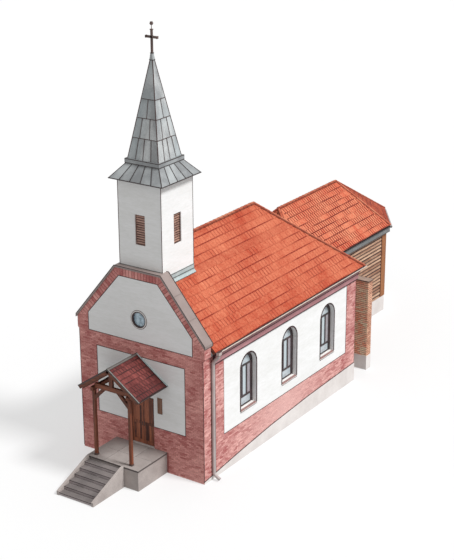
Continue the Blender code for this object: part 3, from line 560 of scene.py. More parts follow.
def outline(plane, loops, low, high):
    """A mesh object from a flat outline with holes, between two heights over its plane."""
    curve = bpy.data.curves.new("outline", "CURVE")
    curve.dimensions = "2D"
    curve.fill_mode = "BOTH"
    curve.extrude = (high - low) / 2
    for loop in loops:
        spline = curve.splines.new("POLY")
        spline.points.add(len(loop) - 1)
        for point, (u, v) in zip(spline.points, loop):
            point.co = (u, v, 0.0, 1.0)
        spline.use_cyclic_u = True
    shape = place_in_scene("outline", curve)
    graph = bpy.context.evaluated_depsgraph_get()
    graph.update()
    mesh = bpy.data.meshes.new_from_object(shape.evaluated_get(graph))
    bpy.data.objects.remove(shape, do_unlink=True)
    turn = Matrix((plane.u, plane.v, plane.n)).transposed().to_4x4()
    mesh.transform(Matrix.Translation(plane.at(0.0, 0.0, (low + high) / 2)) @ turn)
    outwards(mesh, weld=0.00005)
    return place_in_scene("outline", mesh)


def inset(path, distance, closed=True):
    """Move an anticlockwise outline inwards. An open one keeps its ends on their lines."""
    count = len(path)
    sides = []
    for i in range(count if closed else count - 1):
        a, b = Vector(path[i]), Vector(path[(i + 1) % count])
        along = (b - a).normalized()
        sides.append((a + Vector((-along.y, along.x)) * distance, along))
    points = []
    for i in range(count):
        if not closed and i in (0, count - 1):
            place, along = sides[0 if i == 0 else -1]
            points.append(tuple(place + along * (Vector(path[i]) - place).dot(along)))
            continue
        (p, d), (q, e) = sides[i - 1], sides[i % len(sides)]
        t = ((q - p).x * e.y - (q - p).y * e.x) / (d.x * e.y - d.y * e.x)
        points.append(tuple(p + d * t))
    return points


# Bricks and plaster

facade = upright((0, FRONT, 0), 0, -1)
side_faces = {sign: upright((sign * NAVE_HALF, 0, 0), sign, 0) for sign in (1, -1)}


def bricks(blocks, plane, region, length=BRICK, course=COURSE_HEIGHT, start=(0.0, 0.0),
           joint=JOINT, bed=JOINT, slot=0):
    """Courses of bricks on a convex region of a plane, cut to its edges."""
    us = [u - start[0] for u, _ in region]
    vs = [v - start[1] for _, v in region]
    pitch = length + joint
    for row in range(math.floor(min(vs) / course), math.ceil(max(vs) / course)):
        shift = pitch / 2 if row % 2 else 0.0
        first, last = math.floor((min(us) - shift) / pitch), math.ceil((max(us) - shift) / pitch)
        for column in range(first, last):
            left = start[0] + column * pitch + shift + joint / 2
            low = start[1] + row * course + bed / 2
            shape = clip(rectangle(left, left + length, low, low + course - bed), region)
            tone = min(max(rng.gauss(0.5, 0.22), 0.0), 1.0)
            height = PROUD + rng.uniform(-0.002, 0.002)
            if len(shape) >= 3 and area(shape) > 0.0006:
                slab(blocks, plane, shape, SUNK, height, tone=tone, slot=slot)


def faced(blocks, plane, region):
    """Bricks over a thin bed of mortar, which is the piece's second material."""
    bricks(blocks, plane, region)
    slab(blocks, plane, region, CLEAR, 0.003, slot=1)


def soldiers(blocks, band, sign):
    """A course of bricks on edge, square to the gable's slope."""
    along = (Vector(GABLE_SHOULDER) - Vector(EAR_TOP)).normalized()
    u = facade.u * along.x + facade.v * (along.y * sign)
    plane = Plane(facade.at(sign * EAR_TOP[0], EAR_TOP[1]), u, facade.n.cross(u))
    region = [plane.flat(facade.at(*point)) for point in band]
    depth = min(v for _, v in region)
    bricks(blocks, plane, region, course=0.5, start=(0.0, depth - 0.02), **SOLDIER)


def front_brickwork():
    """The front's brick border, piers, plinth and band, with soldier bricks under the coping."""
    face = Blocks()
    edge, ear = NAVE_HALF + PROUD, EAR_HALF + PROUD
    bottom, top = LOWER_PANEL
    shoulder = (UPPER_PANEL_HALF, UPPER_PANEL_SHOULDER)
    for sign in (-1, 1):
        for inner, low, high in ((LOWER_PANEL_HALF, bottom, top), (DOOR_HALF, FLOOR_TOP, bottom),
                                 (PLINTH_START, 0.0, FLOOR_TOP)):
            bricks(face, facade, rectangle(sign * inner, sign * edge, low, high))
        leg = [(UPPER_PANEL_HALF, UPPER_PANEL_BOTTOM), (ear, UPPER_PANEL_BOTTOM), (ear, EAR_TOP[1]),
               shoulder]
        bricks(face, facade, mirror(leg, sign))
        soldiers(face, mirror([shoulder, EAR_TOP, GABLE_SHOULDER, UPPER_PANEL_TOP], sign), sign)
    bricks(face, facade, rectangle(-edge, edge, top, EAR_CORBEL[0]))
    bricks(face, facade, whole([(edge, EAR_CORBEL[0]), (ear, UPPER_PANEL_BOTTOM)]))
    bricks(face, facade, whole([UPPER_PANEL_TOP, GABLE_SHOULDER]), course=0.41,
           start=(0.0, UPPER_PANEL_TOP[1]), **SOLDIER)
    face.piece("front_bricks", "brick", [brick])


def front_plaster():
    """Plaster panels with a thin dark joint around each, and the round window's hole."""
    bottom, top = LOWER_PANEL
    lower = whole([(DOOR_HALF, DOOR_TOP), (DOOR_HALF, bottom), (LOWER_PANEL_HALF, bottom),
                   (LOWER_PANEL_HALF, top)])
    upper = whole([(UPPER_PANEL_HALF, UPPER_PANEL_BOTTOM), (UPPER_PANEL_HALF, UPPER_PANEL_SHOULDER),
                   UPPER_PANEL_TOP])
    low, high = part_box("oculus_frame")
    hole = circle((0.0, (low.z + high.z) / 2), (high.z - low.z) / 2 + 0.004)
    for name, shape, holes in (("lower", lower, []), ("gable", upper, [hole])):
        panel = outline(facade, [inset(shape, 0.014)] + holes, SUNK, 0.014)
        dress(panel, f"front_panel_{name}", [plaster], bevel=0.004)
        joint = outline(facade, [inset(shape, -0.022), inset(shape, 0.013)], SUNK, 0.012)
        dress(joint, f"front_panel_joint_{name}", [trim_line])


def side_brickwork():
    """Plinth and corner piers of each long side, and of the rear wall beside the annex, over
    a footing that steps out and rises to the rear."""
    near, far = SIDE_PANEL
    bottom, head = SIDE_PANEL_BOTTOM, CORNICE_BOTTOM + 0.01
    ground = NAVE_FOOTING[0][1]
    step_out, step_up = EAR_HALF - NAVE_HALF, EAR_CORBEL[1] - EAR_CORBEL[0]
    for name, sign in SIDES:
        face, rim, base = Blocks(), Blocks(), Blocks()
        plane = side_faces[sign]

        def side(a, b, low, high):
            return rectangle(sign * a, sign * b, low, high)
        for (a, low), (b, high) in zip(NAVE_FOOTING, NAVE_FOOTING[1:]):
            for blocks, heights, thick in ((base, (0.0, 0.0, high, low), FOOTING_PROUD),
                                           (rim, (low, high, high + 0.05, low + 0.05), 0.018)):
                shape = mirror(list(zip((a, b, b, a), heights)), sign)
                slab(blocks, plane, shape, SUNK, thick)
            faced(face, plane, mirror([(a, low), (b, high), (b, bottom), (a, bottom)], sign))
        faced(face, plane, side(FRONT, near, bottom, head))
        faced(face, plane, side(FRONT, WALL_START + 0.27, head, EAR_CORBEL[0]))
        faced(face, plane, side(far, REAR, bottom, head))
        step = Plane((sign * NAVE_HALF, 0, EAR_CORBEL[0]), (0, sign, 0),
                     (sign * step_out, 0, step_up))
        run = math.hypot(step_out, step_up)
        bricks(face, step, side(FRONT, WALL_START, 0.0, run), course=run)
        faced(face, upright((sign * EAR_HALF, 0, 0), sign, 0),
              side(FRONT, WALL_START, EAR_CORBEL[1], EAR_TOP[1] - 0.06))
        face.piece(f"side_bricks_{name}", "brick", [side_brick, side_mortar])
        for a, b, low, high, thick in ((near, far, bottom, bottom + 0.03, 0.008),
                                       (near, near + 0.03, bottom, CORNICE_BOTTOM, 0.008),
                                       (far - 0.03, far, bottom, CORNICE_BOTTOM, 0.008),
                                       (FRONT, FRONT + 0.018, ground, CORNICE_BOTTOM, 0.013),
                                       (REAR - 0.018, REAR, ground, CORNICE_BOTTOM, 0.013)):
            slab(rim, plane, side(a, b, low, high), SUNK, thick)
        corner = (sign * (NAVE_HALF + PROUD), FRONT - PROUD)
        tube(rim, [(*corner, ground), (*corner, EAR_CORBEL[0])], 0.014, sides=8)
        rim.piece(f"side_panel_joint_{name}", "brick", [trim_line])
        base.piece(f"nave_footing_{name}", "concrete", [footing])
    face, base = Blocks(), Blocks()
    rear = upright((0, REAR, 0), 0, 1)
    edge, inner = -NAVE_HALF - PROUD, REAR - far - NAVE_HALF
    top = NAVE_FOOTING[-1][1]
    faced(face, rear, rectangle(edge, -0.02, top, bottom))
    faced(face, rear, rectangle(edge, inner, bottom, head))
    face.piece("rear_bricks", "brick", [side_brick, side_mortar])
    slab(base, rear, rectangle(-NAVE_HALF - FOOTING_PROUD, -0.02, 0.0, top), SUNK, FOOTING_PROUD)
    base.piece("nave_footing_rear", "concrete", [footing])


# Roof tiles


def tiles(blocks, plane, region, course, width, seed, thick=0.034, shift=0.0, lines=1.0,
          joints=0.22, strip=0.036, slot=0, ridge=None):
    """Lapped flat tiles on a convex region of a roof, v = 0 at the eave. Dark lines come and go
    along the courses, as painted shade at each lap, and between the tiles. The three lowest
    courses and those near the ridge are deeper in colour."""
    top = max(v for _, v in region)
    ridge = ridge or top
    us = [u for u, _ in region]
    for row in range(math.ceil(top / course - 0.01)):
        low = row * course
        half = width / 2 if row % 2 else 0.0
        near_ridge = max(low / ridge - 0.70, 0.0) / 0.30
        deeper = (0.80, 0.45, 0.20)[row] if row < 3 else 0.75 * near_ridge
        for column in range(math.floor((min(us) - half) / width),
                            math.ceil((max(us) - half) / width)):
            left = column * width + half
            full = rectangle(left, left + width - TILE_GAP, low, low + course)
            shape = clip(full, region)
            tone = min(max(rng.gauss(0.5, 0.25) + shift - deeper, -0.4), 1.0)
            butt = thick + rng.uniform(-0.006, 0.008)
            if len(shape) < 3 or area(shape) < 0.08 * course * width:
                continue

            def height(_, v, low=low, butt=butt):
                return butt - (butt - 0.010) * (v - low) / course
            if shape != full:
                slab(blocks, plane, shape, 0.0, height, tone=tone, line=0.15, slot=slot)
                continue
            broken = noise.noise(Vector((left * 0.42, row * 3.1, seed)))
            clustered = noise.noise(Vector((left * 0.9, row * 2.3, seed + 40.0)))
            along = min(min(max(0.52 + 2.0 * broken, 0.16), 1.0) * lines, 1.0)
            between = min(min(max(joints + 2.2 * clustered, 0.10), 0.95) * lines, 1.0)
            tile(blocks, plane, full, height, strip, along, between, tone=tone, slot=slot)


def tile(blocks, plane, shape, height, strip, along, between, **look):
    """One whole tile, with painted shade along its lower edge and a dark joint along its right."""
    (left, low), (right, _), (_, high), _ = shape
    inner = rectangle(left + 0.006, right - strip, low + 0.050, high - 0.002)
    points = [plane.at(u, v, 0.0) for u, v in shape]
    points += [plane.at(u, v, height(u, v)) for u, v in shape + inner]
    faces = [[3, 2, 1, 0], [0, 1, 5, 4], [1, 2, 6, 5], [2, 3, 7, 6], [3, 0, 4, 7],
             [4, 5, 9, 8], [5, 6, 10, 9], [6, 7, 11, 10], [7, 4, 8, 11], [8, 9, 10, 11]]
    lines = [0.0, along, between, 0.0, between * 0.5, along, between, 0.0, 0.0, 0.0]
    blocks.add(points, faces, line=lines, **look)


def caps(blocks, start, end, up, pitch=0.34, radius=0.13, steps=8):
    """Half-round ridge tiles that lap each other from the lower end up. Their feet and lower ends
    are painted dark as shade.
    """
    start, end = Vector(start), Vector(end)
    along = (end - start).normalized()
    side = along.cross(Vector(up)).normalized()
    up = side.cross(along)
    length = (end - start).length
    count = max(round(length / pitch), 1)
    n = steps + 1
    faces, marks = [], []
    for k in range(steps):
        faces += [[k, k + 1, 2 * n + k + 1, 2 * n + k], [n + k + 1, n + k, 3 * n + k, 3 * n + k + 1],
                  [k + 1, k, n + k, n + k + 1], [2 * n + k, 2 * n + k + 1, 3 * n + k + 1, 3 * n + k]]
        marks += [(0.0, 0.4, 0.8, 0.8)[int(abs(k - (steps - 1) / 2))], 0.0, 1.0, 0.0]
    faces += [[0, 2 * n, 3 * n, n], [steps, n + steps, 3 * n + steps, 2 * n + steps]]
    marks += [0.8, 0.8]
    for i in range(count):
        points = []
        for run, size in ((length * i / count, radius),
                          (min(length * (i + 1) / count + 0.05, length + 0.02), radius * 0.84)):
            for skin in (size, size - 0.016):
                points += [start + along * run + side * x + up * (y * 0.72 - radius * 0.30)
                           for x, y in half_circle((0.0, 0.0), skin, steps)]
        blocks.add(points, faces, tone=rng.random(), line=marks)


def roof_plane(start, end, ridge):
    """The plane of a roof slope, u along its eave and v up to its ridge."""
    start = Vector(start)
    return Plane(start, Vector(end) - start, Vector(ridge) - start)


def nave_roof():
    """Tiles on both slopes, around the tower, and on the rear hip, with their caps."""
    ridge = (0.0, RIDGE_REAR, RIDGE_Z)
    crest = Blocks()
    for name, sign in SIDES:
        ends = [(sign * EAVE_HALF, y, EAVE_Z) for y in (WALL_START, ROOF_HIGH.y)][::sign]
        plane = roof_plane(*ends, ridge)
        split = plane.flat((sign * TOWER_HALF, 0.0, TOWER_FOOT_Z))[1]
        ridge_u, high = plane.flat(ridge)
        front_u, rear_u, back_u = (plane.flat((0.0, y, 0.0))[0]
                                   for y in (WALL_START, ROOF_HIGH.y, TOWER_HIGH.y + 0.03))
        hip_u = rear_u + (ridge_u - rear_u) * split / high
        face = Blocks()
        for part in ([(front_u, -0.02), (rear_u, -0.02), (hip_u, split), (front_u, split)],
                     [(back_u, split), (hip_u, split), (ridge_u, high), (back_u, high)]):
            tiles(face, plane, part[::sign], COURSE, TILE_WIDTH, 3.0 + sign, ridge=high)
        face.piece(f"nave_tiles_{name}", "orange_tile", [orange_tile])
    rear = roof_plane((EAVE_HALF, ROOF_HIGH.y, EAVE_Z), (-EAVE_HALF, ROOF_HIGH.y, EAVE_Z), ridge)
    hip = Blocks()
    tiles(hip, rear, [(0.0, -0.02), (2 * EAVE_HALF, -0.02), rear.flat(ridge)], COURSE,
          TILE_WIDTH, 9.0)
    hip.piece("nave_tiles_rear", "orange_tile", [orange_tile])
    caps(crest, (0.0, TOWER_HIGH.y + 0.02, RIDGE_Z + 0.02), (0.0, RIDGE_REAR, RIDGE_Z + 0.02), UP)
    for sign in (1, -1):
        up = Vector((sign * (RIDGE_Z - EAVE_Z), 0, EAVE_HALF)).normalized() + rear.n
        lift = up * 0.012
        caps(crest, lift + Vector((sign * EAVE_HALF, ROOF_HIGH.y, EAVE_Z)), lift + Vector(ridge), up)
    crest.piece("nave_ridge_caps", "orange_tile", [tile_cap], smooth=50)


def annex_roof():
    """Tiles on the annex's slopes and hips, with caps."""
    eaves = [(x, FRONT + y, ANNEX_EAVE_Z) for x, y in ANNEX_EAVES]
    near, far = (Vector((ANNEX_RIDGE_X, y, ANNEX_RIDGE_Z)) for y in ANNEX_RIDGE)
    normals = []
    face = Blocks()
    for number, tops in enumerate(((far, near), (far,), (far,), (far,), (near, far), (near,))):
        a, b = eaves[number], eaves[(number + 1) % 6]
        plane = roof_plane(a, b, tops[0])
        normals.append(plane.n)
        region = [plane.flat(point) for point in (a, b, *tops)]
        # The two far hips take the darker tile copy and a lower tone: painted shade.
        far_hip = number in (1, 2)
        tiles(face, plane, region, 0.345, 0.21, 20.0 + number, thick=0.030,
              shift=0.0 if far_hip else 0.5, lines=1.3, joints=0.62, strip=0.066,
              slot=1 if far_hip else 0)
    face.piece("annex_tiles", "orange_tile", [annex_tile, shaded_tile])
    crest = Blocks()
    lift = Vector((0.0, 0.0, 0.02))
    caps(crest, near + lift, far + lift, UP)
    for corner, foot in enumerate(eaves):
        up = normals[corner - 1] + normals[corner]
        top = near if corner in (0, 5) else far
        caps(crest, Vector(foot) + up * 0.012, top + up * 0.012, up, radius=0.11)
    crest.piece("annex_ridge_caps", "orange_tile", [tile_cap], smooth=50)


# Eaves


def eaves():
    """Stepped cornice, half-round gutters with brackets, and downpipes with collars."""
    low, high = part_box("eaves_cornice")
    reach = high.x - NAVE_HALF
    steps = [(CLEAR, 0.0), (0.07, 0.0), (0.07, 0.06), (0.09, 0.07), (0.09, 0.29), (0.105, 0.305),
             (0.105, 0.345), (reach - 0.02, 0.40), (reach - 0.02, 0.48), (reach, 0.49),
             (reach, CORNICE_TOP - CORNICE_BOTTOM), (CLEAR, CORNICE_TOP - CORNICE_BOTTOM)]
    profile = [(out, CORNICE_BOTTOM + z) for out, z in steps]
    # Marks: dark on the undersides of the steps as painted shade, and on two narrow faces as drawn
    # lines.
    marks = [0.9, 1.0, 0.8, 0.0, 1.0, 1.0, 0.3, 0.0, 0.9, 0.2, 0.0, 0.0]
    path = [(NAVE_HALF, low.y), (NAVE_HALF, REAR), (-NAVE_HALF, REAR), (-NAVE_HALF, low.y)]
    cornice = Blocks()
    sweep(cornice, path, profile, line=marks, tone=0.45)
    cornice.piece("cornice_moulding", "brick", [cornice_paint], replaces=["eaves_cornice"],
                  smooth=20)
    for name, sign in SIDES:
        gutter(name, sign)
    low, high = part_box("gutter_rear")
    trough("rear", [(high.x, low.y), (low.x, low.y)], (high.y - low.y) / 2, high.z, Blocks())
    for name, sign in SIDES:
        downpipe(name, sign)


def trough(name, path, radius, rim, trim):
    """A half-round gutter with a rolled front lip, and the trim made for it."""
    outer, inner = ([(radius + u, rim + v) for u, v in half_circle((0.0, 0.0), r, 10, math.pi)]
                    for r in (radius, radius - 0.007))
    bead = [(2 * radius + 0.013, rim - 0.004), (2 * radius + 0.013, rim + 0.020),
            (2 * radius - 0.004, rim + 0.026), (2 * radius - 0.012, rim + 0.010)]
    # Dark paint on the trough's underside and inside as painted shade, and in a band across its front
    # as a drawn line.
    slots = [0] * 4 + [1, 1, 0, 1, 2, 2] + [2, 2, 2, 1, 1] + [1] * 11
    sweep(trim, path, outer + bead + inner[::-1], slot=slots)
    trim.piece(f"gutter_{name}_sheet", "gutter_metal", [gutter_sheet, gutter_line, gutter_lip],
               replaces=[f"gutter_{name}"], smooth=40)


def gutter(name, sign):
    """One long gutter with its straps, end plates and an outlet box at its front end."""
    low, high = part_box(f"gutter_{name}")
    radius = (high.x - low.x) / 2
    wall = low.x if sign > 0 else high.x
    trim = Blocks()
    end = half_circle((0.0, 0.0), radius * 1.03, 10, math.pi)
    for y in (low.y + 0.012, high.y - 0.012):
        slab(trim, upright((wall + sign * radius, y, high.z), 0, -1), end, -0.010, 0.010)
    count = round((high.y - low.y) / 0.8)
    bend = half_circle((radius, high.z), radius + 0.006, 8, math.pi)
    for i in range(count):
        y = low.y + (high.y - low.y) * (i + 0.5) / count
        strap = [Vector((wall + sign * out, y, z)) for out, z in bend]
        for a, b in zip(strap, strap[1:]):
            beam(trim, a, b, 0.03, 0.005, (b - a).cross(Vector((0, 1, 0))), slot=1)
    pipe_low, pipe_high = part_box(f"downpipe_{name}")
    for out, z, tall, slot in ((0.0, -0.15, 0.162, 0), (0.004, -0.165, 0.018, 1),
                               (0.004, 0.010, 0.018, 1)):
        block(trim, (wall + sign * (0.008 - out), pipe_low.y - 0.03 - out, high.z + z),
              (wall + sign * (2 * radius + 0.016 + out), pipe_high.y + 0.05 + out,
               high.z + z + tall), slot=slot)
    trough(name, [(wall, low.y), (wall, high.y)][::sign], radius, high.z, trim)


def downpipe(name, sign):
    """A round pipe from the gutter's outlet, back to the wall and down to a shoe."""
    low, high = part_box(f"downpipe_{name}")
    y = (low.y + high.y) / 2
    radius = (high.y - low.y) / 2
    outlet, wall = EAVE_HALF + 0.0753, NAVE_HALF + 0.10
    bend_z, elbow_z, shoe_z, mouth_z = 6.36, 6.02, 0.30, 0.10
    foot = wall + 0.32
    run = [(outlet, high.z), (outlet, bend_z), (wall, elbow_z), (wall, shoe_z), (foot, mouth_z)]
    pipe = Blocks()
    tube(pipe, rounded([(sign * x, y, z) for x, z in run], 0.10), radius + 0.014, sides=16)
    # Two dark rods run down the pipe's edges as seen from the front right: painted shade.
    edge_shade = Vector((sign * 0.83, 0.56, 0.0)) * (radius + 0.010)
    for side in (edge_shade, -edge_shade):
        tube(pipe, [side + Vector((sign * wall, y, z)) for z in (shoe_z + 0.06, elbow_z - 0.06)],
             0.020, sides=6, line=1.0)
    for z in (5.78, 3.9, 2.0, 0.42):
        tube(pipe, [(sign * wall, y, z), (sign * wall, y, z + 0.04)], radius + 0.012, sides=16,
             line=0.35)
        block(pipe, (sign * wall, y - 0.012, z + 0.006), (sign * NAVE_HALF, y + 0.012, z + 0.034),
              line=0.8)
    mouth = Vector((sign * foot, y, mouth_z))
    back = Vector((sign * (wall - foot), 0.0, shoe_z - mouth_z)).normalized()
    tube(pipe, [mouth - back * 0.002, mouth + back * 0.035], radius + 0.007, sides=16, line=0.9)
    pipe.piece(f"downpipe_{name}_sheet", "gutter_metal", [pipe_sheet],
               replaces=[f"downpipe_{name}"], smooth=40)


def gable_coping():
    """Folded edges and joints on the gable's sheet coping."""
    low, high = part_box("gable_coping")
    knee_z, top_half = 7.03, 1.335
    foot, head = Vector((high.x, knee_z)), Vector((top_half, high.z))
    run = whole([(high.x, low.z), tuple(foot), tuple(head)])
    lift = Vector((head.y - foot.y, foot.x - head.x)).normalized() * 0.006
    trim = Blocks()
    for y, thick in ((low.y, 0.017), (high.y, 0.024)):
        tube(trim, [(x, y, z) for x, z in run], thick, sides=8, line=1.0)
    for sign in (1, -1):
        tube(trim, [(sign * high.x, y, low.z + 0.01) for y in (low.y, high.y)], 0.014, sides=8,
             line=0.85)
        for share in (0.36, 0.70):
            x, z = foot.lerp(head, share) + lift
            beam(trim, (sign * x, low.y, z), (sign * x, high.y, z), 0.03, 0.012,
                 (sign * lift.x, 0, lift.y), line=0.35)
    trim.piece("gable_coping_folds", "coping", [coping_sheet], smooth=40)


# Windows

FRAME_WIDTH = 0.155
MULLION = 0.085
MULLION_AT = 0.195
TRANSOM = 0.09
LOW_TRANSOM_Z = 3.06
BAND_WIDTH = 0.08
SILL_HIGH = 0.062
SILL_LOW = 0.016


def arch(half, bottom, spring, steps=20):
    """A round-headed outline about u = 0, anticlockwise from its lower left corner."""
    return [(-half, bottom), (half, bottom)] + half_circle((0.0, spring), half, steps)


def panes(half, bottom, spring):
    """The openings of one window between its bars: lunette, three lights and a low light."""
    inner = half - FRAME_WIDTH
    start = math.asin(TRANSOM / 2 / inner)
    lunette = [(inner * math.cos(start + (math.pi - 2 * start) * i / 18),
                spring + inner * math.sin(start + (math.pi - 2 * start) * i / 18))
               for i in range(19)]
    low, high = LOW_TRANSOM_Z + TRANSOM / 2, spring - TRANSOM / 2
    near, far = MULLION_AT - MULLION / 2, MULLION_AT + MULLION / 2
    lights = [rectangle(a, b, low, high) for a, b in ((-inner, -far), (-near, near), (far, inner))]
    foot = rectangle(-inner, inner, bottom + FRAME_WIDTH * 0.8, LOW_TRANSOM_Z - TRANSOM / 2)
    return [lunette] + lights + [foot]


def side_window(name, sign):
    """A dark frame with bars around separate panes, a sloping sill, and a thin dark band on the
    wall around the opening."""
    low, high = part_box(name)
    centre, half = (low.y + high.y) / 2, (high.y - low.y) / 2
    face = high.x if sign > 0 else low.x
    plane, wall = (upright((x, centre, 0.0), sign, 0) for x in (face, sign * NAVE_HALF))
    spring = high.z - half
    holes = panes(half, low.z, spring)
    shape = arch(half, low.z, spring)
    bars = outline(plane, [shape] + holes, -0.075, 0.0)
    dress(bars, f"{name}_frame", [frame_paint], replaces=[name], bevel=0.008)
    rim = outline(plane, [shape, arch(half - 0.045, low.z + 0.045, spring)], SUNK, 0.018)
    dress(rim, f"{name}_rim", [frame_paint], bevel=0.006)
    outer, inner = (arch(half + 0.001 + more, low.z + 0.016, spring) for more in (BAND_WIDTH, 0.0))
    band = outline(wall, [outer[1:] + [outer[0], inner[0]] + inner[:0:-1]], SUNK, 0.007)
    dress(band, f"{name}_band", [band_paint])
    sheet = Blocks()
    for hole, tone in zip(holes, (0.85, 0.2, 1.0, 0.3, 0.9)):
        slab(sheet, plane, inset(hole, -0.01), -0.046, -0.036, tone=tone)
    sheet.piece(f"{name}_glass", "window_glass", [glass])
    section = Plane((face, centre, low.z), (sign, 0, 0), UP)
    reach = NAVE_HALF - abs(face) + 0.030
    split = reach * 0.48
    drop = SILL_HIGH - (SILL_HIGH - SILL_LOW) * split / reach
    # The sill's outer half takes the darker sill paint, and a dark strip runs under its front edge:
    # painted shade.
    sill = Blocks()
    for a, b, high_a, high_b, slot in ((0.0, split, SILL_HIGH, drop, 0),
                                       (split, reach, drop, SILL_LOW, 2)):
        slab(sill, section, [(a, CLEAR), (b, CLEAR), (b, high_b), (a, high_a)], -half + 0.001,
             half - 0.001, slot=slot)
    for bottom, top, out, slot in ((-0.012, 0.016, 0.034, 0), (-0.045, -0.013, 0.026, 1)):
        block(sill, (sign * (NAVE_HALF + CLEAR), centre - half - 0.04, low.z + bottom),
              (sign * (NAVE_HALF + out), centre + half + 0.04, low.z + top), slot=slot)
    sill.piece(f"{name}_sill", "plaster", [stone, trim_line, sill_shade_paint])


def oculus():
    """A pale moulded ring, a dark inner frame and a round pane."""
    low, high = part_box("oculus_frame")
    radius = (high.z - low.z) / 2
    plane = upright((0.0, FRONT, (low.z + high.z) / 2), 0, -1)
    bore = radius - 0.12
    ring = Blocks()
    profile = [(radius, 0.001), (radius, 0.022), (radius - 0.020, 0.024), (radius - 0.026, 0.036),
               (radius - 0.064, 0.036), (radius - 0.070, 0.024), (bore + 0.012, 0.030),
               (bore, 0.020), (bore, -0.138), (radius - 0.0703, -0.138), (radius - 0.0703, 0.001)]
    # The rim's outer edge, the dark inner frame and the sleeve down to the pane take the frame paint:
    # a drawn outline on the rim and painted shade in the sleeve.
    turned(ring, plane, profile, slot=[1, 1, 0, 0, 1, 1, 1, 1, 0, 0, 0], tone=0.9)
    ring.piece("oculus_ring", "coping", [stone, frame_paint], replaces=["oculus_frame"],
               smooth=30)
    pane = Blocks()
    slab(pane, plane, circle((0.0, 0.0), bore - CLEAR), -0.076, -0.064, tone=0.9)
    pane.piece("oculus_pane", "window_glass", [oculus_glass], replaces=["oculus_glass"], smooth=30)


# Tower

SKIRT_TOP_Z = 14.81
SPIRE_ROWS_Z = (15.95, 16.85, 17.70)


def tower_planes(half, top_half, low, high):
    """The planes of four faces around the tower that lean in as they rise: right, rear, left
    and front."""
    for turn in range(4):
        spin = Matrix.Rotation(turn * math.pi / 2, 4, "Z")
        out, along = spin @ Vector((1, 0, 0)), spin @ Vector((0, 1, 0))
        yield Plane(Vector((0, TOWER_MIDDLE, low)) + out * half, along,
                    Vector((0, 0, high - low)) - out * (half - top_half))


def corners(half, z):
    """The corners of a square around the tower, from the front right one round by the left."""
    return [Vector((x * half, TOWER_MIDDLE + y * half, z))
            for x, y in ((1, -1), (-1, -1), (-1, 1), (1, 1))]


def hips(blocks, half, z, top_half, top_z, radius, **look):
    """Four bars between the corners of two squares."""
    for foot, head in zip(corners(half, z), corners(top_half, top_z)):
        tube(blocks, [foot, head], radius, sides=8, **look)


def louvres():
    """A frame with sloping slats in each tower opening."""
    planes = tower_planes(TOWER_HALF - 0.05, TOWER_HALF - 0.05, 0.0, 1.0)
    rim, count = 0.04, 12
    for name, plane in zip(("right", "rear", "left", "front"), planes):
        low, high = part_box(f"tower_louvre_{name}")
        half = max(high.x - low.x, high.y - low.y) / 2
        work = Blocks()
        for shape in frame_bars(-half, half, low.z, high.z, rim):
            slab(work, plane, shape, -0.068, 0.0, tone=0.2, line=0.7)
        lean = (plane.n * 0.62 + Vector((0, 0, -0.78))).normalized()
        for i in range(count):
            z = low.z + rim + (high.z - low.z - 2 * rim) / count * (i + 0.5)
            beam(work, plane.at(-half + rim, z, -0.032), plane.at(half - rim, z, -0.032), 0.070,
                 0.014, lean.cross(plane.u), tone=rng.random())
        # A dark sheet behind the slats stands for the tower's dark inside: painted shade.
        slab(work, plane, rectangle(-half, half, low.z, high.z), -0.0695, -0.066, line=1.0)
        # The front and left louvres, out of the sun, take the lighter slat copy: painted light.
        slat_for_its_light = slat_wood if name in ("right", "rear") else shaded_slat
        work.piece(f"tower_louvre_{name}_slats", "louvre", [slat_for_its_light],
                   replaces=[f"tower_louvre_{name}"])


def tower_flashing():
    """Sheet along the tower's foot: an upstand on the wall and an apron on the tiles, a line
    over the coping in front and a sheet against the ridge behind."""
    work = Blocks()
    foot = TOWER_FOOT_Z
    near, far = WALL_START + 0.03, TOWER_HIGH.y
    outer = TOWER_HALF + 0.014
    back = upright((0, far, 0), 0, 1)
    for sign in (1, -1):
        side = upright((sign * TOWER_HALF, 0, 0), sign, 0)
        for low, high, out, tone, mark in ((-0.04, 0.33, 0.014, 0.3, 0.0),
                                           (0.315, 0.345, 0.026, 0.5, 0.8),
                                           (0.11, 0.14, 0.03, 0.5, 0.9)):
            slab(work, side, rectangle(sign * near, sign * (far + 0.02), foot + low, foot + high),
                 CLEAR, out, tone=tone, line=mark)
        down = Vector((sign, 0, -ROOF_SLOPE)).normalized()
        apron = Plane((sign * TOWER_HALF, 0, foot + 0.11), *[down, (0, 1, 0)][::sign])
        for a, b, mark in ((0.0, 0.19, 0.0), (0.19, 0.215, 1.0)):
            shape = rectangle(a, b, near, far + 0.05)
            shape = shape if sign > 0 else [(v, u) for u, v in shape]
            slab(work, apron, shape, -0.045, -0.030, line=mark)
        strip = [(sign * outer, foot - 0.05), (sign * outer, foot + 0.28), (0.0, RIDGE_Z + 0.30),
                 (0.0, RIDGE_Z - 0.02)]
        slab(work, back, strip, CLEAR, 0.014, tone=0.4)
    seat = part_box("gable_coping")[1].z
    slab(work, upright((0, TOWER_LOW.y, 0), 0, -1),
         rectangle(-TOWER_HALF, TOWER_HALF, seat, seat + 0.025), CLEAR, 0.010, line=0.75)
    work.piece("tower_flashing", "sheet_metal", [flashing_sheet])


def tapering(half, top_half, length):
    """A function that gives the part of a tapering face between two heights and two shares of
    its width, with its sides moved out."""
    def across(share, v):
        return (2 * share - 1) * (half + (top_half - half) * v / length)

    def part(a, b, left, right, out=0.0):
        return [(across(left, a) - out, a), (across(right, a) + out, a),
                (across(right, b) + out, b), (across(left, b) - out, b)]
    return part


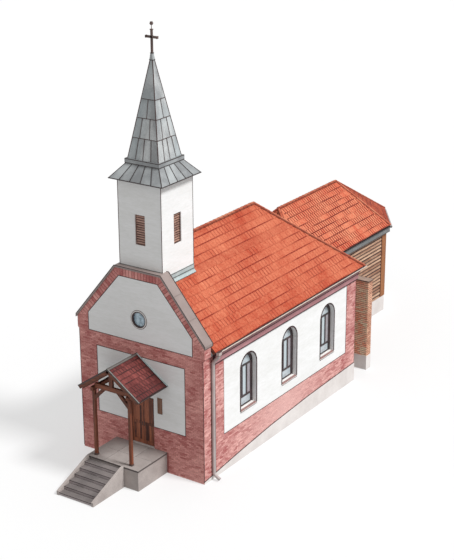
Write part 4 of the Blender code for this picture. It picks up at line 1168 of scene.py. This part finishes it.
def spire():
    """Lapped sheets in four rows on each side of the spire, with seams that run to its tip."""
    low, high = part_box("spire")
    half, top_half = high.x, 0.07
    height = high.z - low.z
    length = math.hypot(height, half - top_half)
    part = tapering(half, top_half, length)
    rows = [0.0] + [(z - low.z) / height * length for z in SPIRE_ROWS_Z] + [length]
    seams = ((0.26, 0.50, 0.76), (0.30, 0.70), (0.52,), ())
    sheet = Blocks()
    lap, flat = 0.014, 0.003
    joint = {"tone": 0.3, "line": 0.9}
    for plane in tower_planes(half, top_half, low.z, high.z):
        for row, (a, b) in enumerate(zip(rows, rows[1:])):
            shares = (0.0, *seams[row], 1.0)

            def height_at(_, v, a=a, b=b):
                return lap - (lap - flat) * (v - a) / (b - a)
            for left, right in zip(shares, shares[1:]):
                slab(sheet, plane, part(a, b, left, right), -0.004, height_at, tone=rng.random())
            for share in seams[row]:
                slab(sheet, plane, part(a, b - 0.01, share, share, 0.016), 0.0, 0.026, **joint)
            if row:
                slab(sheet, plane, part(a - 0.017, a + 0.017, 0.0, 1.0), 0.0, 0.020, **joint)
    hips(sheet, half, low.z + 0.01, top_half, high.z, 0.024, line=1.0)
    sheet.piece("spire_sheets", "sheet_metal", [spire_sheet], smooth=40)


def skirt():
    """Standing seams, hip rolls, drip edge and collar mouldings of the spire's skirt, and the
    beads on the tower's corners."""
    low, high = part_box("tower_skirt_roof")
    half, top_half = high.x, 0.9
    length = math.hypot(SKIRT_TOP_Z - low.z, half - top_half)
    part = tapering(half, top_half, length)
    sheet = Blocks()
    pans = 5
    for plane in tower_planes(half, top_half, low.z, SKIRT_TOP_Z):
        for pan in range(pans):
            share = pan / pans
            slab(sheet, plane, part(0.0, length, share, (pan + 1) / pans), -0.004, 0.004,
                 tone=rng.random())
            if pan:
                slab(sheet, plane, part(0.01, length, share, share, 0.016), 0.0, 0.026, tone=0.3,
                     line=0.95)

    def on_hip(share):
        return half + (top_half - half) * share, low.z + (SKIRT_TOP_Z - low.z) * share
    hips(sheet, *on_hip(0.02), *on_hip(0.97), 0.022, line=1.0)
    collar, foot_z, lip_z, top_z = 0.95, SKIRT_TOP_Z + 0.01, 14.966, 15.0
    for size, a, b, out, mark in ((half, low.z - 0.02, low.z + 0.022, 0.010, 1.0),
                                  (collar, foot_z - 0.035, foot_z, 0.010, 1.0),
                                  (collar, foot_z, lip_z, 0.004, 0.0),
                                  (collar, lip_z, top_z, 0.010, 1.0)):
        path = [corner.xy for corner in corners(size, 0.0)]
        sweep(sheet, path, [(-0.02, a), (out, a), (out, b), (-0.02, b)], closed=True, line=mark,
              tone=0.35)
    sheet.piece("skirt_sheets", "sheet_metal", [skirt_sheet], smooth=40)
    beads = Blocks()
    hips(beads, TOWER_HALF, TOWER_LOW.z + 0.5, TOWER_HALF, low.z, 0.016)
    beads.piece("tower_corner_beads", "plaster", [trim_line], smooth=50)


def cross():
    """A tapered sheet cap, a square cross with collars and a small star of rods."""
    low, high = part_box("spire_cross")
    cap = Blocks()
    for a, size_a, b, size_b, mark in ((0.0, 0.098, 0.035, 0.10, 1.0),
                                       (0.035, 0.09, 0.30, 0.055, 0.0),
                                       (0.30, 0.068, 0.335, 0.064, 1.0)):
        loft(cap, [corners(size_a, low.z + a), corners(size_b, low.z + b)], line=mark)
    cap.piece("spire_cap", "sheet_metal", [skirt_sheet])
    work = Blocks()
    arm_z, top_z, star_z = 20.43, 20.78, 21.03
    arm, bar, knob, reach = 0.31, 0.088, 0.12, 0.022
    for x, z, far_x, far_z, width, thick in (
            (0, low.z + 0.02, 0, top_z, bar, bar), (-arm, arm_z, arm, arm_z, 0.104, bar),
            (-arm - reach, arm_z, reach - arm, arm_z, knob, knob),
            (arm - reach, arm_z, arm + reach, arm_z, knob, knob),
            (0, top_z - 0.02 - reach, 0, top_z - 0.02 + reach, knob, knob)):
        beam(work, (x, TOWER_MIDDLE, z), (far_x, TOWER_MIDDLE, far_z), width, thick, (0, 1, 0))
    star = Vector((0, TOWER_MIDDLE, star_z))
    tube(work, [(0, TOWER_MIDDLE, top_z - 0.03), star], 0.017, sides=8)
    size = 0.08
    ball = [(size * math.cos(math.radians(a)), size * math.sin(math.radians(a)))
            for a in range(-60, 61, 30)]
    turned(work, Plane(star, (1, 0, 0), (0, 1, 0)), [(CLEAR, -size)] + ball + [(CLEAR, size)],
           steps=16)
    for tilt in (-50, 0, 50):
        lift = math.radians(tilt)
        for turn in range(6):
            angle = math.radians(60 * turn + tilt)
            tip = Vector((math.cos(angle) * math.cos(lift), math.sin(angle) * math.cos(lift),
                          math.sin(lift)))
            tube(work, [star + tip * 0.03, star + tip * 0.10], 0.010, sides=6)
    work.piece("spire_cross_iron", "iron", [iron], replaces=["spire_cross"], bevel=0.004)


# Porch

PORCH_EAVE_Z = 4.56


def porch_timbers():
    """Box timbers with eased edges in the CAD nodes' places, and the posts' shoes and straps."""
    def timber(node_name, name, axis):
        work = Blocks()
        block(work, *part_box(node_name), tone=rng.random())
        work.piece(name, "timber", [timbers[axis]], replaces=[node_name], bevel=0.014)
    for side in ("left", "right"):
        for member, axis in (("post", "Z"), ("plate", "Y")):
            timber(f"porch_{member}_{side}", f"porch_{member}_{side}_timber", axis)
        low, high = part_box(f"porch_post_{side}")
        shoe = Blocks()
        for z, out, tall in ((low.z, 0.012, 0.09), (high.z - 0.62, 0.004, 0.012)):
            block(shoe, (low.x - out, low.y - out, z), (high.x + out, high.y + out, z + tall))
        shoe.piece(f"porch_post_{side}_shoe", "iron", [iron], bevel=0.004)
    timber("porch_tie_beam", "porch_tie_timber", "X")


def porch_roof():
    """Tiles, barge boards, thin sheet edges, ridge sheet, wall flashing and rafters inside."""
    low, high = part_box("porch_roof")
    middle, half = (low.x + high.x) / 2, (high.x - low.x) / 2
    depth = high.y - low.y
    cover, sheet, wood_work = Blocks(), Blocks(), Blocks()
    slopes = []
    for sign in (1, -1):
        rise = Vector((-sign * half, 0, high.z - PORCH_EAVE_Z))
        length = rise.length
        start = low.y if sign > 0 else high.y
        plane = Plane((middle + sign * half, start, PORCH_EAVE_Z), (0, sign, 0), rise)
        slopes.append((sign, plane))
        tiles(cover, plane, rectangle(0.02, depth - 0.02, -0.02, length), length / 8, 0.185,
              60.0 + sign, thick=0.028, lines=1.5, joints=0.6)
    cover.piece("porch_tiles", "crimson_tile", [crimson_tile])
    for sign, plane in slopes:
        front, back = (0.0, depth)[::sign]
        for start, a, b, low_n, high_n, mark, slot in (
                (front, 0.034, -0.026, 0.016, 0.038, 0.0, 0),
                (front, -0.026, -0.046, 0.016, 0.036, 1.0, 0),
                (front, 0.034, 0.028, -0.030, 0.036, 0.9, 0),
                (back, 0.0, 0.10, 0.030, 0.046, 0.0, 1),
                (back, 0.10, 0.125, 0.030, 0.044, 1.0, 0)):
            slab(sheet, plane, rectangle(start - sign * a, start - sign * b, -0.03, length), low_n,
                 high_n, line=mark, slot=slot)
        for bottom, top, low_n, high_n, mark in (
                (-0.034, -0.022, -0.055, 0.034, 0.9),
                (length - 0.07, length, 0.032, 0.042, 0.45),
                (length - 0.09, length - 0.07, 0.030, 0.042, 1.0)):
            slab(sheet, plane, rectangle(0.0, depth, bottom, top), low_n, high_n, line=mark)
        slab(wood_work, plane, rectangle(front - sign * 0.001, front - sign * 0.030, -0.02, length),
             -0.17, -0.012, tone=0.3)
        for share in (0.36, 0.66, 0.97):
            centre = depth * share if sign < 0 else depth * (1 - share)
            slab(wood_work, plane, rectangle(centre - 0.05, centre + 0.05, 0.16, length - 0.02),
                 -0.205, -0.0815, tone=rng.random())
    crest_z = high.z + 0.042
    tube(sheet, [(middle, low.y - 0.03, crest_z), (middle, high.y, crest_z)], 0.026, sides=10,
         line=0.7)
    sheet.piece("porch_roof_edges", "sheet_metal", [porch_sheet, flashing_sheet], smooth=40)
    wood_work.piece("porch_barge_boards", "timber", [timbers["X"]], bevel=0.006)


# Landing, steps and door

SLAB_JOINT = 0.004
NOSING = 0.02


def landing():
    """Six concrete slabs over a plain base."""
    low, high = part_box("entrance_landing")
    work = Blocks()
    block(work, (low.x, low.y, 0.0), (high.x, high.y, high.z - 0.092), tone=0.35, slot=1)
    count = 3
    width = (high.x - low.x) / count
    middle = low.y + 1.12
    for i in range(count):
        left = low.x + width * i + (SLAB_JOINT if i else -NOSING)
        right = low.x + width * (i + 1) + (NOSING if i == count - 1 else -SLAB_JOINT)
        for front, back in ((low.y - NOSING, middle), (middle + SLAB_JOINT, high.y)):
            block(work, (left, front, high.z - 0.09), (right, back, high.z), tone=rng.random(),
                  line=[0.8, 0.0, 0.8, 0.8, 0.0, 0.0])
    work.piece("landing_slabs", "concrete", [concrete, side_concrete],
               replaces=["entrance_landing"], bevel=0.010)


def steps():
    """Seven risers with slab treads between two kerbs."""
    low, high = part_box("entrance_steps")
    risers, tread, kerb = 7, 0.38, 0.13
    rise = high.z / risers
    left, right = low.x + kerb, high.x - kerb
    work = Blocks()
    for i in range(1, risers):
        top = high.z - i * rise
        front = high.y - i * tread
        back = front + tread
        # The risers face away from the sun and take the lighter shaded_concrete: painted light. Each
        # tread's front edge carries a dark line: painted shade.
        block(work, (left, front + NOSING, 0.0), (right, min(back + NOSING, high.y), top - 0.042),
              tone=0.8, slot=1)
        block(work, (left, front, top - 0.04), (right, back - 0.002, top),
              tone=0.4 + 0.6 * rng.random(), line=[1.0, 0.0, 0.85, 0.0, 0.0, 0.0])
    foot = high.y - (risers - 1) * tread - NOSING
    rail = [(high.y, 0.0), (high.y, high.z), (high.y - 0.10, high.z), (foot, rise + 0.06),
            (foot, 0.0)]
    for x in (low.x, right):
        slab(work, upright((x, 0, 0), 1, 0), rail, 0.0, kerb, tone=0.95, slot=2)
    work.piece("step_slabs", "concrete", [step_concrete, shaded_concrete, side_concrete],
               replaces=["entrance_steps"], bevel=0.008)


def door_leaf(side, sign):
    """Boards and mouldings on the leaf's outer face, ledges on its inner face, and a handle."""
    low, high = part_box(f"door_leaf_{side}")
    left, right = sorted((sign * 0.008, sign * 0.653))
    top, bottom = high.z - 0.004, low.z + 0.004
    foot, head = bottom + 0.20, top - 0.14
    stile, rail_low, rail_high = 0.095, bottom + 1.02, bottom + 1.16
    work, inside, handle = Blocks(), Blocks(), Blocks()
    face = upright((0, low.y, 0), 0, -1)
    for shape in frame_bars(left, right, bottom, top, stile, 0.20, 0.14) + [
            rectangle(left + stile, right - stile, rail_low, rail_high)]:
        slab(work, face, shape, CLEAR, 0.016, tone=rng.random())
    count = 4
    width = (right - left - 2 * stile) / count
    for low_z, high_z in ((foot, rail_low), (rail_high, head)):
        for i in range(count):
            a = left + stile + i * width
            shape = rectangle(a + 0.003, a + width - 0.003, low_z + 0.004, high_z - 0.004)
            slab(work, face, shape, CLEAR, 0.009, tone=rng.random())
    for z in (bottom + 0.35, bottom + 1.5, bottom + 2.05):
        slab(inside, upright((0, FRONT + 0.20, 0), 0, 1),
             rectangle(-left - 0.08, 0.08 - right, z, z + 0.12), CLEAR, 0.02, tone=rng.random())
    x, y, z = sign * 0.055, low.y, bottom + 1.09
    slab(handle, face, rectangle(x - 0.022, x + 0.022, bottom + 0.95, bottom + 1.17), 0.0165, 0.022)
    tube(handle, rounded([(x, y - 0.02, z), (x, y - 0.065, z), (x + sign * 0.12, y - 0.065, z)],
                         0.02), 0.009, sides=10)
    body = f"{side}_leaf"
    work.piece(f"door_boards_{side}", "timber", [door_wood], body=body, bevel=0.004)
    inside.piece(f"door_ledges_{side}", "timber", [door_wood], body=body, bevel=0.004)
    handle.piece(f"door_handle_{side}", "iron", [iron], body=body, smooth=40)


def notice_board():
    """A shallow wooden case on the wall."""
    low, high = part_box("notice_board")
    sides = (low.x, high.x, low.z, high.z)
    work = Blocks()
    slab(work, facade, rectangle(*sides), 0.0145, 0.026, tone=1.0)
    for shape in frame_bars(*sides, 0.03):
        slab(work, facade, shape, 0.0145, 0.042, tone=0.6)
    work.piece("notice_board_case", "timber", [board_wood], replaces=["notice_board"],
               bevel=0.004)


# Annex and yard wall


def annex_path():
    """The line of the annex's eaves and of its walls, from the right wall round."""
    path = [(x, FRONT + y) for x, y in ANNEX_EAVES]
    for end in (0, -1):
        path[end] = (path[end][0], REAR + 0.02)
    return path, inset(path, ANNEX_OVERHANG, closed=False)


def annex_walls():
    """Lapped boards with corner posts over a concrete plinth."""
    _, wall = annex_path()
    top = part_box("annex_eaves_box")[0].z + 0.01
    rows = round((top - FOOTING_TOP) / 0.215)
    pitch = (top - FOOTING_TOP) / rows
    work, posts, base = Blocks(), Blocks(), Blocks()
    for a, b in zip(wall, wall[1:]):
        run = Vector((*b, 0)) - Vector((*a, 0))
        plane = Plane((*a, 0), run, UP)
        ends = [run.length]
        while ends[-1] > 4.2:
            ends.append(ends[-1] - 3.6)
        for row in range(rows):
            low = FOOTING_TOP + row * pitch
            split = low + pitch * 0.52

            def lean(_, v, low=low):
                return 0.034 - 0.028 * (v - low) / pitch
            cuts = [ends[0], *(end + rng.uniform(-0.6, 0.6) for end in ends[1:]), 0.0]
            for right, left in zip(cuts, cuts[1:]):
                tone = rng.random()
                # Each board's lower edge and the upper part of its face, under the next board's lap,
                # are painted dark: painted shade.
                for bottom, head, line in ((low, split, [0, 0, 0.9, 0, 0, 0]),
                                           (split, low + pitch, 0.75 + 0.25 * rng.random())):
                    slab(work, plane, rectangle(left + 0.003, right - 0.003, bottom, head), 0.0,
                         lean, tone=tone, line=line)
    work.piece("annex_boards", "boards", [boards])
    size = 0.25
    foot = FOOTING_TOP + 0.002
    for x, y in wall[1:-1]:
        outer = math.copysign(1.0, x - ANNEX_RIDGE_X)
        x, y = x - outer * (size - 0.055), y - size + 0.055
        block(posts, (x - size, y - size, foot), (x + size, y + size, top), tone=rng.random())
        # A dark strip beside each post: painted shade where the boards meet it.
        edge = x + outer * (size - 0.012)
        block(posts, (edge, y - size - 0.06, foot), (edge - outer * 0.06, y - size + 0.002, top),
              line=1.0)
    posts.piece("annex_posts", "boards", [post_wood], bevel=0.010)
    sweep(base, wall, [(0.0, 0.0), (0.045, 0.0), (0.045, FOOTING_TOP - 0.02), (0.0, FOOTING_TOP)],
          line=[0.0, 0.0, 0.3, 0.0])
    base.piece("annex_plinth", "concrete", [footing])


def annex_eaves():
    """A slate-grey fascia with a drip fold under the annex's tiles, and a gutter round it."""
    path, _ = annex_path()
    low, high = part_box("annex_eaves_box")
    line = inset(path, 0.03, closed=False)
    z, top = low.z, high.z
    work, channel = Blocks(), Blocks()
    sweep(work, line, [(0.0, z + 0.02), (0.010, z), (0.018, z), (0.018, z + 0.035),
                       (0.014, z + 0.035), (0.014, top), (0.0, top)],
          line=[0.8, 0.9, 1.0, 0.8, 0.0, 0.0, 0.0])
    sweep(work, line, [(0.0, top - 0.004), (0.035, top - 0.004), (0.035, top + 0.05),
                       (0.0, top + 0.05)], line=[1.0, 0.95, 0.8, 0.0])
    work.piece("annex_fascia", "sheet_metal", [fascia_sheet])
    rim = top + 0.055
    sweep(channel, path[1:-1], [(0.0, rim - 0.09), (0.09, rim - 0.09), (0.125, rim - 0.03),
                                (0.125, rim), (0.0, rim)], line=[0.9, 1.0, 0.8, 0.0, 0.9])
    channel.piece("annex_gutter", "gutter_metal", [pipe_sheet])


def yard_wall():
    """Brown bricks on three sides, a footing and four coping slabs."""
    low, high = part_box("yard_wall")
    foot, top = YARD_FOOTING_TOP, high.z - 0.004
    work, base, slope = Blocks(), Blocks(), Blocks()
    for place, out, left, right, start, slot in (
            ((0, low.y, 0), (0, -1), 0.05, high.x + PROUD, 0.0, 1),
            ((0, high.y, 0), (0, 1), -high.x - PROUD, -0.05, 0.0, 0),
            ((high.x, 0, 0), (1, 0), low.y, high.y, low.y, 0)):
        bricks(work, upright(place, *out), rectangle(left, right, foot, top), length=0.27,
               course=0.11, bed=0.028, start=(start, 0.0), slot=slot)
    work.piece("yard_bricks", "brown_brick", [brown_brick, shaded_brick])
    block(base, (0.05, low.y - 0.02, 0.0), (high.x + 0.02, high.y + 0.02, foot), tone=0.7)
    base.piece("yard_wall_footing", "concrete", [footing], bevel=0.008)
    low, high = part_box("yard_wall_coping")
    bottom, shoulder = low.z + 0.001, high.z - 0.05
    shape = [(low.y, bottom), (high.y, bottom), (high.y, shoulder), ((low.y + high.y) / 2, high.z),
             (low.y, shoulder)]
    count = 4
    width = (high.x - low.x) / count
    for i in range(count):
        slab(slope, upright((low.x + width * i, 0, 0), 1, 0), shape, 0.003, width - 0.003,
             tone=rng.random())
    for z in (low.z - 0.004, high.z - 0.07):
        block(slope, (low.x, low.y - 0.006, z), (high.x + 0.006, high.y + 0.006, z + 0.026), line=1.0)
    slope.piece("yard_coping_slabs", "concrete", [wall_coping], replaces=["yard_wall_coping"],
                bevel=0.008)


def cad_nodes():
    """Materials of the CAD nodes that no piece replaces."""
    for look, names in (
            (mortar, "front_wall_left front_wall_right front_gable_wall"),
            (plaster, "side_wall_left side_wall_right rear_wall tower_walls"),
            (timbers["X"], "tower_beam porch_brace_left porch_brace_right porch_rafters"),
            (timbers["Y"], "nave_roof annex_roof porch_roof"),
            (timbers["Z"], "door_frame porch_king_post"),
            (door_wood, "door_leaf_left door_leaf_right"), (floor_tile, "nave_floor"),
            (stone, "door_threshold"), (coping_sheet, "gable_coping"), (spire_sheet, "spire"),
            (skirt_sheet, "tower_skirt_roof"), (boards, "annex_walls"),
            (fascia_sheet, "annex_eaves_box"), (brown_mortar, "yard_wall")):
        for name in names.split():
            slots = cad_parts[name].data.materials
            slots.clear()
            slots.append(look)


# Camera, floor and light

CAMERA_PLACE = (38.279, -56.067, 32.840)
CAMERA_YAW, CAMERA_PITCH, CAMERA_ROLL = 34.220, 20.642, -0.325
FOCAL_PIXELS = 1448.367
PHOTO_HEIGHT = 560
SENSOR = 36.0
SUN_FROM = (0.62, 0.08, 0.78)
SUN = 2.79
SKY = 0.50
WHITE = (1, 1, 1, 1)


def camera():
    """The photo's camera. It looks straight down before it is turned, tilted and rolled."""
    data = bpy.data.cameras.new("camera")
    data.sensor_width = SENSOR
    data.lens = FOCAL_PIXELS / PHOTO_HEIGHT * SENSOR
    data.clip_end = 1500.0
    eye = place_in_scene("camera", data)
    place = Matrix.Translation(CAMERA_PLACE)
    for angle, axis in ((CAMERA_YAW, "Z"), (90.0 - CAMERA_PITCH, "X"), (CAMERA_ROLL, "Z")):
        place @= Matrix.Rotation(math.radians(angle), 4, axis)
    eye.matrix_world = place
    bpy.context.scene.camera = eye


def studio():
    """A pale floor that glows a little, so that the cast shadow stays pale, a broad sun and an
    even white sky."""
    bpy.ops.mesh.primitive_plane_add(size=1600.0, location=(0.0, 0.0, -0.003))
    ground = bpy.context.object
    ground.name = "studio_floor"
    surface = paint("studio_floor", (0.38, 0.38, 0.38, 1), (0.40, 0.40, 0.40, 1), wash=0.05,
                    patch=0.3, speckle=0.1, bump=0.0)
    glow = surface.node_tree.nodes["Principled BSDF"].inputs
    glow["Emission Color"].default_value = WHITE
    glow["Emission Strength"].default_value = 0.53
    ground.data.materials.append(surface)
    ground.visible_diffuse = False
    sun = bpy.data.lights.new("sun", "SUN")
    sun.energy = SUN
    sun.angle = math.radians(14)
    place_in_scene("sun", sun).rotation_euler = Vector(SUN_FROM).to_track_quat("Z", "Y").to_euler()
    scene = bpy.context.scene
    scene.world = bpy.data.worlds.new("studio")
    scene.world.use_nodes = True
    sky = scene.world.node_tree.nodes["Background"].inputs
    sky["Color"].default_value = WHITE
    sky["Strength"].default_value = SKY
    scene.view_settings.view_transform = "Standard"


camera()
studio()
cad_nodes()
front_brickwork()
front_plaster()
side_brickwork()
nave_roof()
annex_roof()
eaves()
gable_coping()
for side, sign in SIDES:
    for number in (1, 2, 3):
        side_window(f"window_{side}_{number}", sign)
oculus()
louvres()
tower_flashing()
spire()
skirt()
cross()
porch_timbers()
porch_roof()
landing()
steps()
door_leaf("left", -1)
door_leaf("right", 1)
notice_board()
annex_walls()
annex_eaves()
yard_wall()
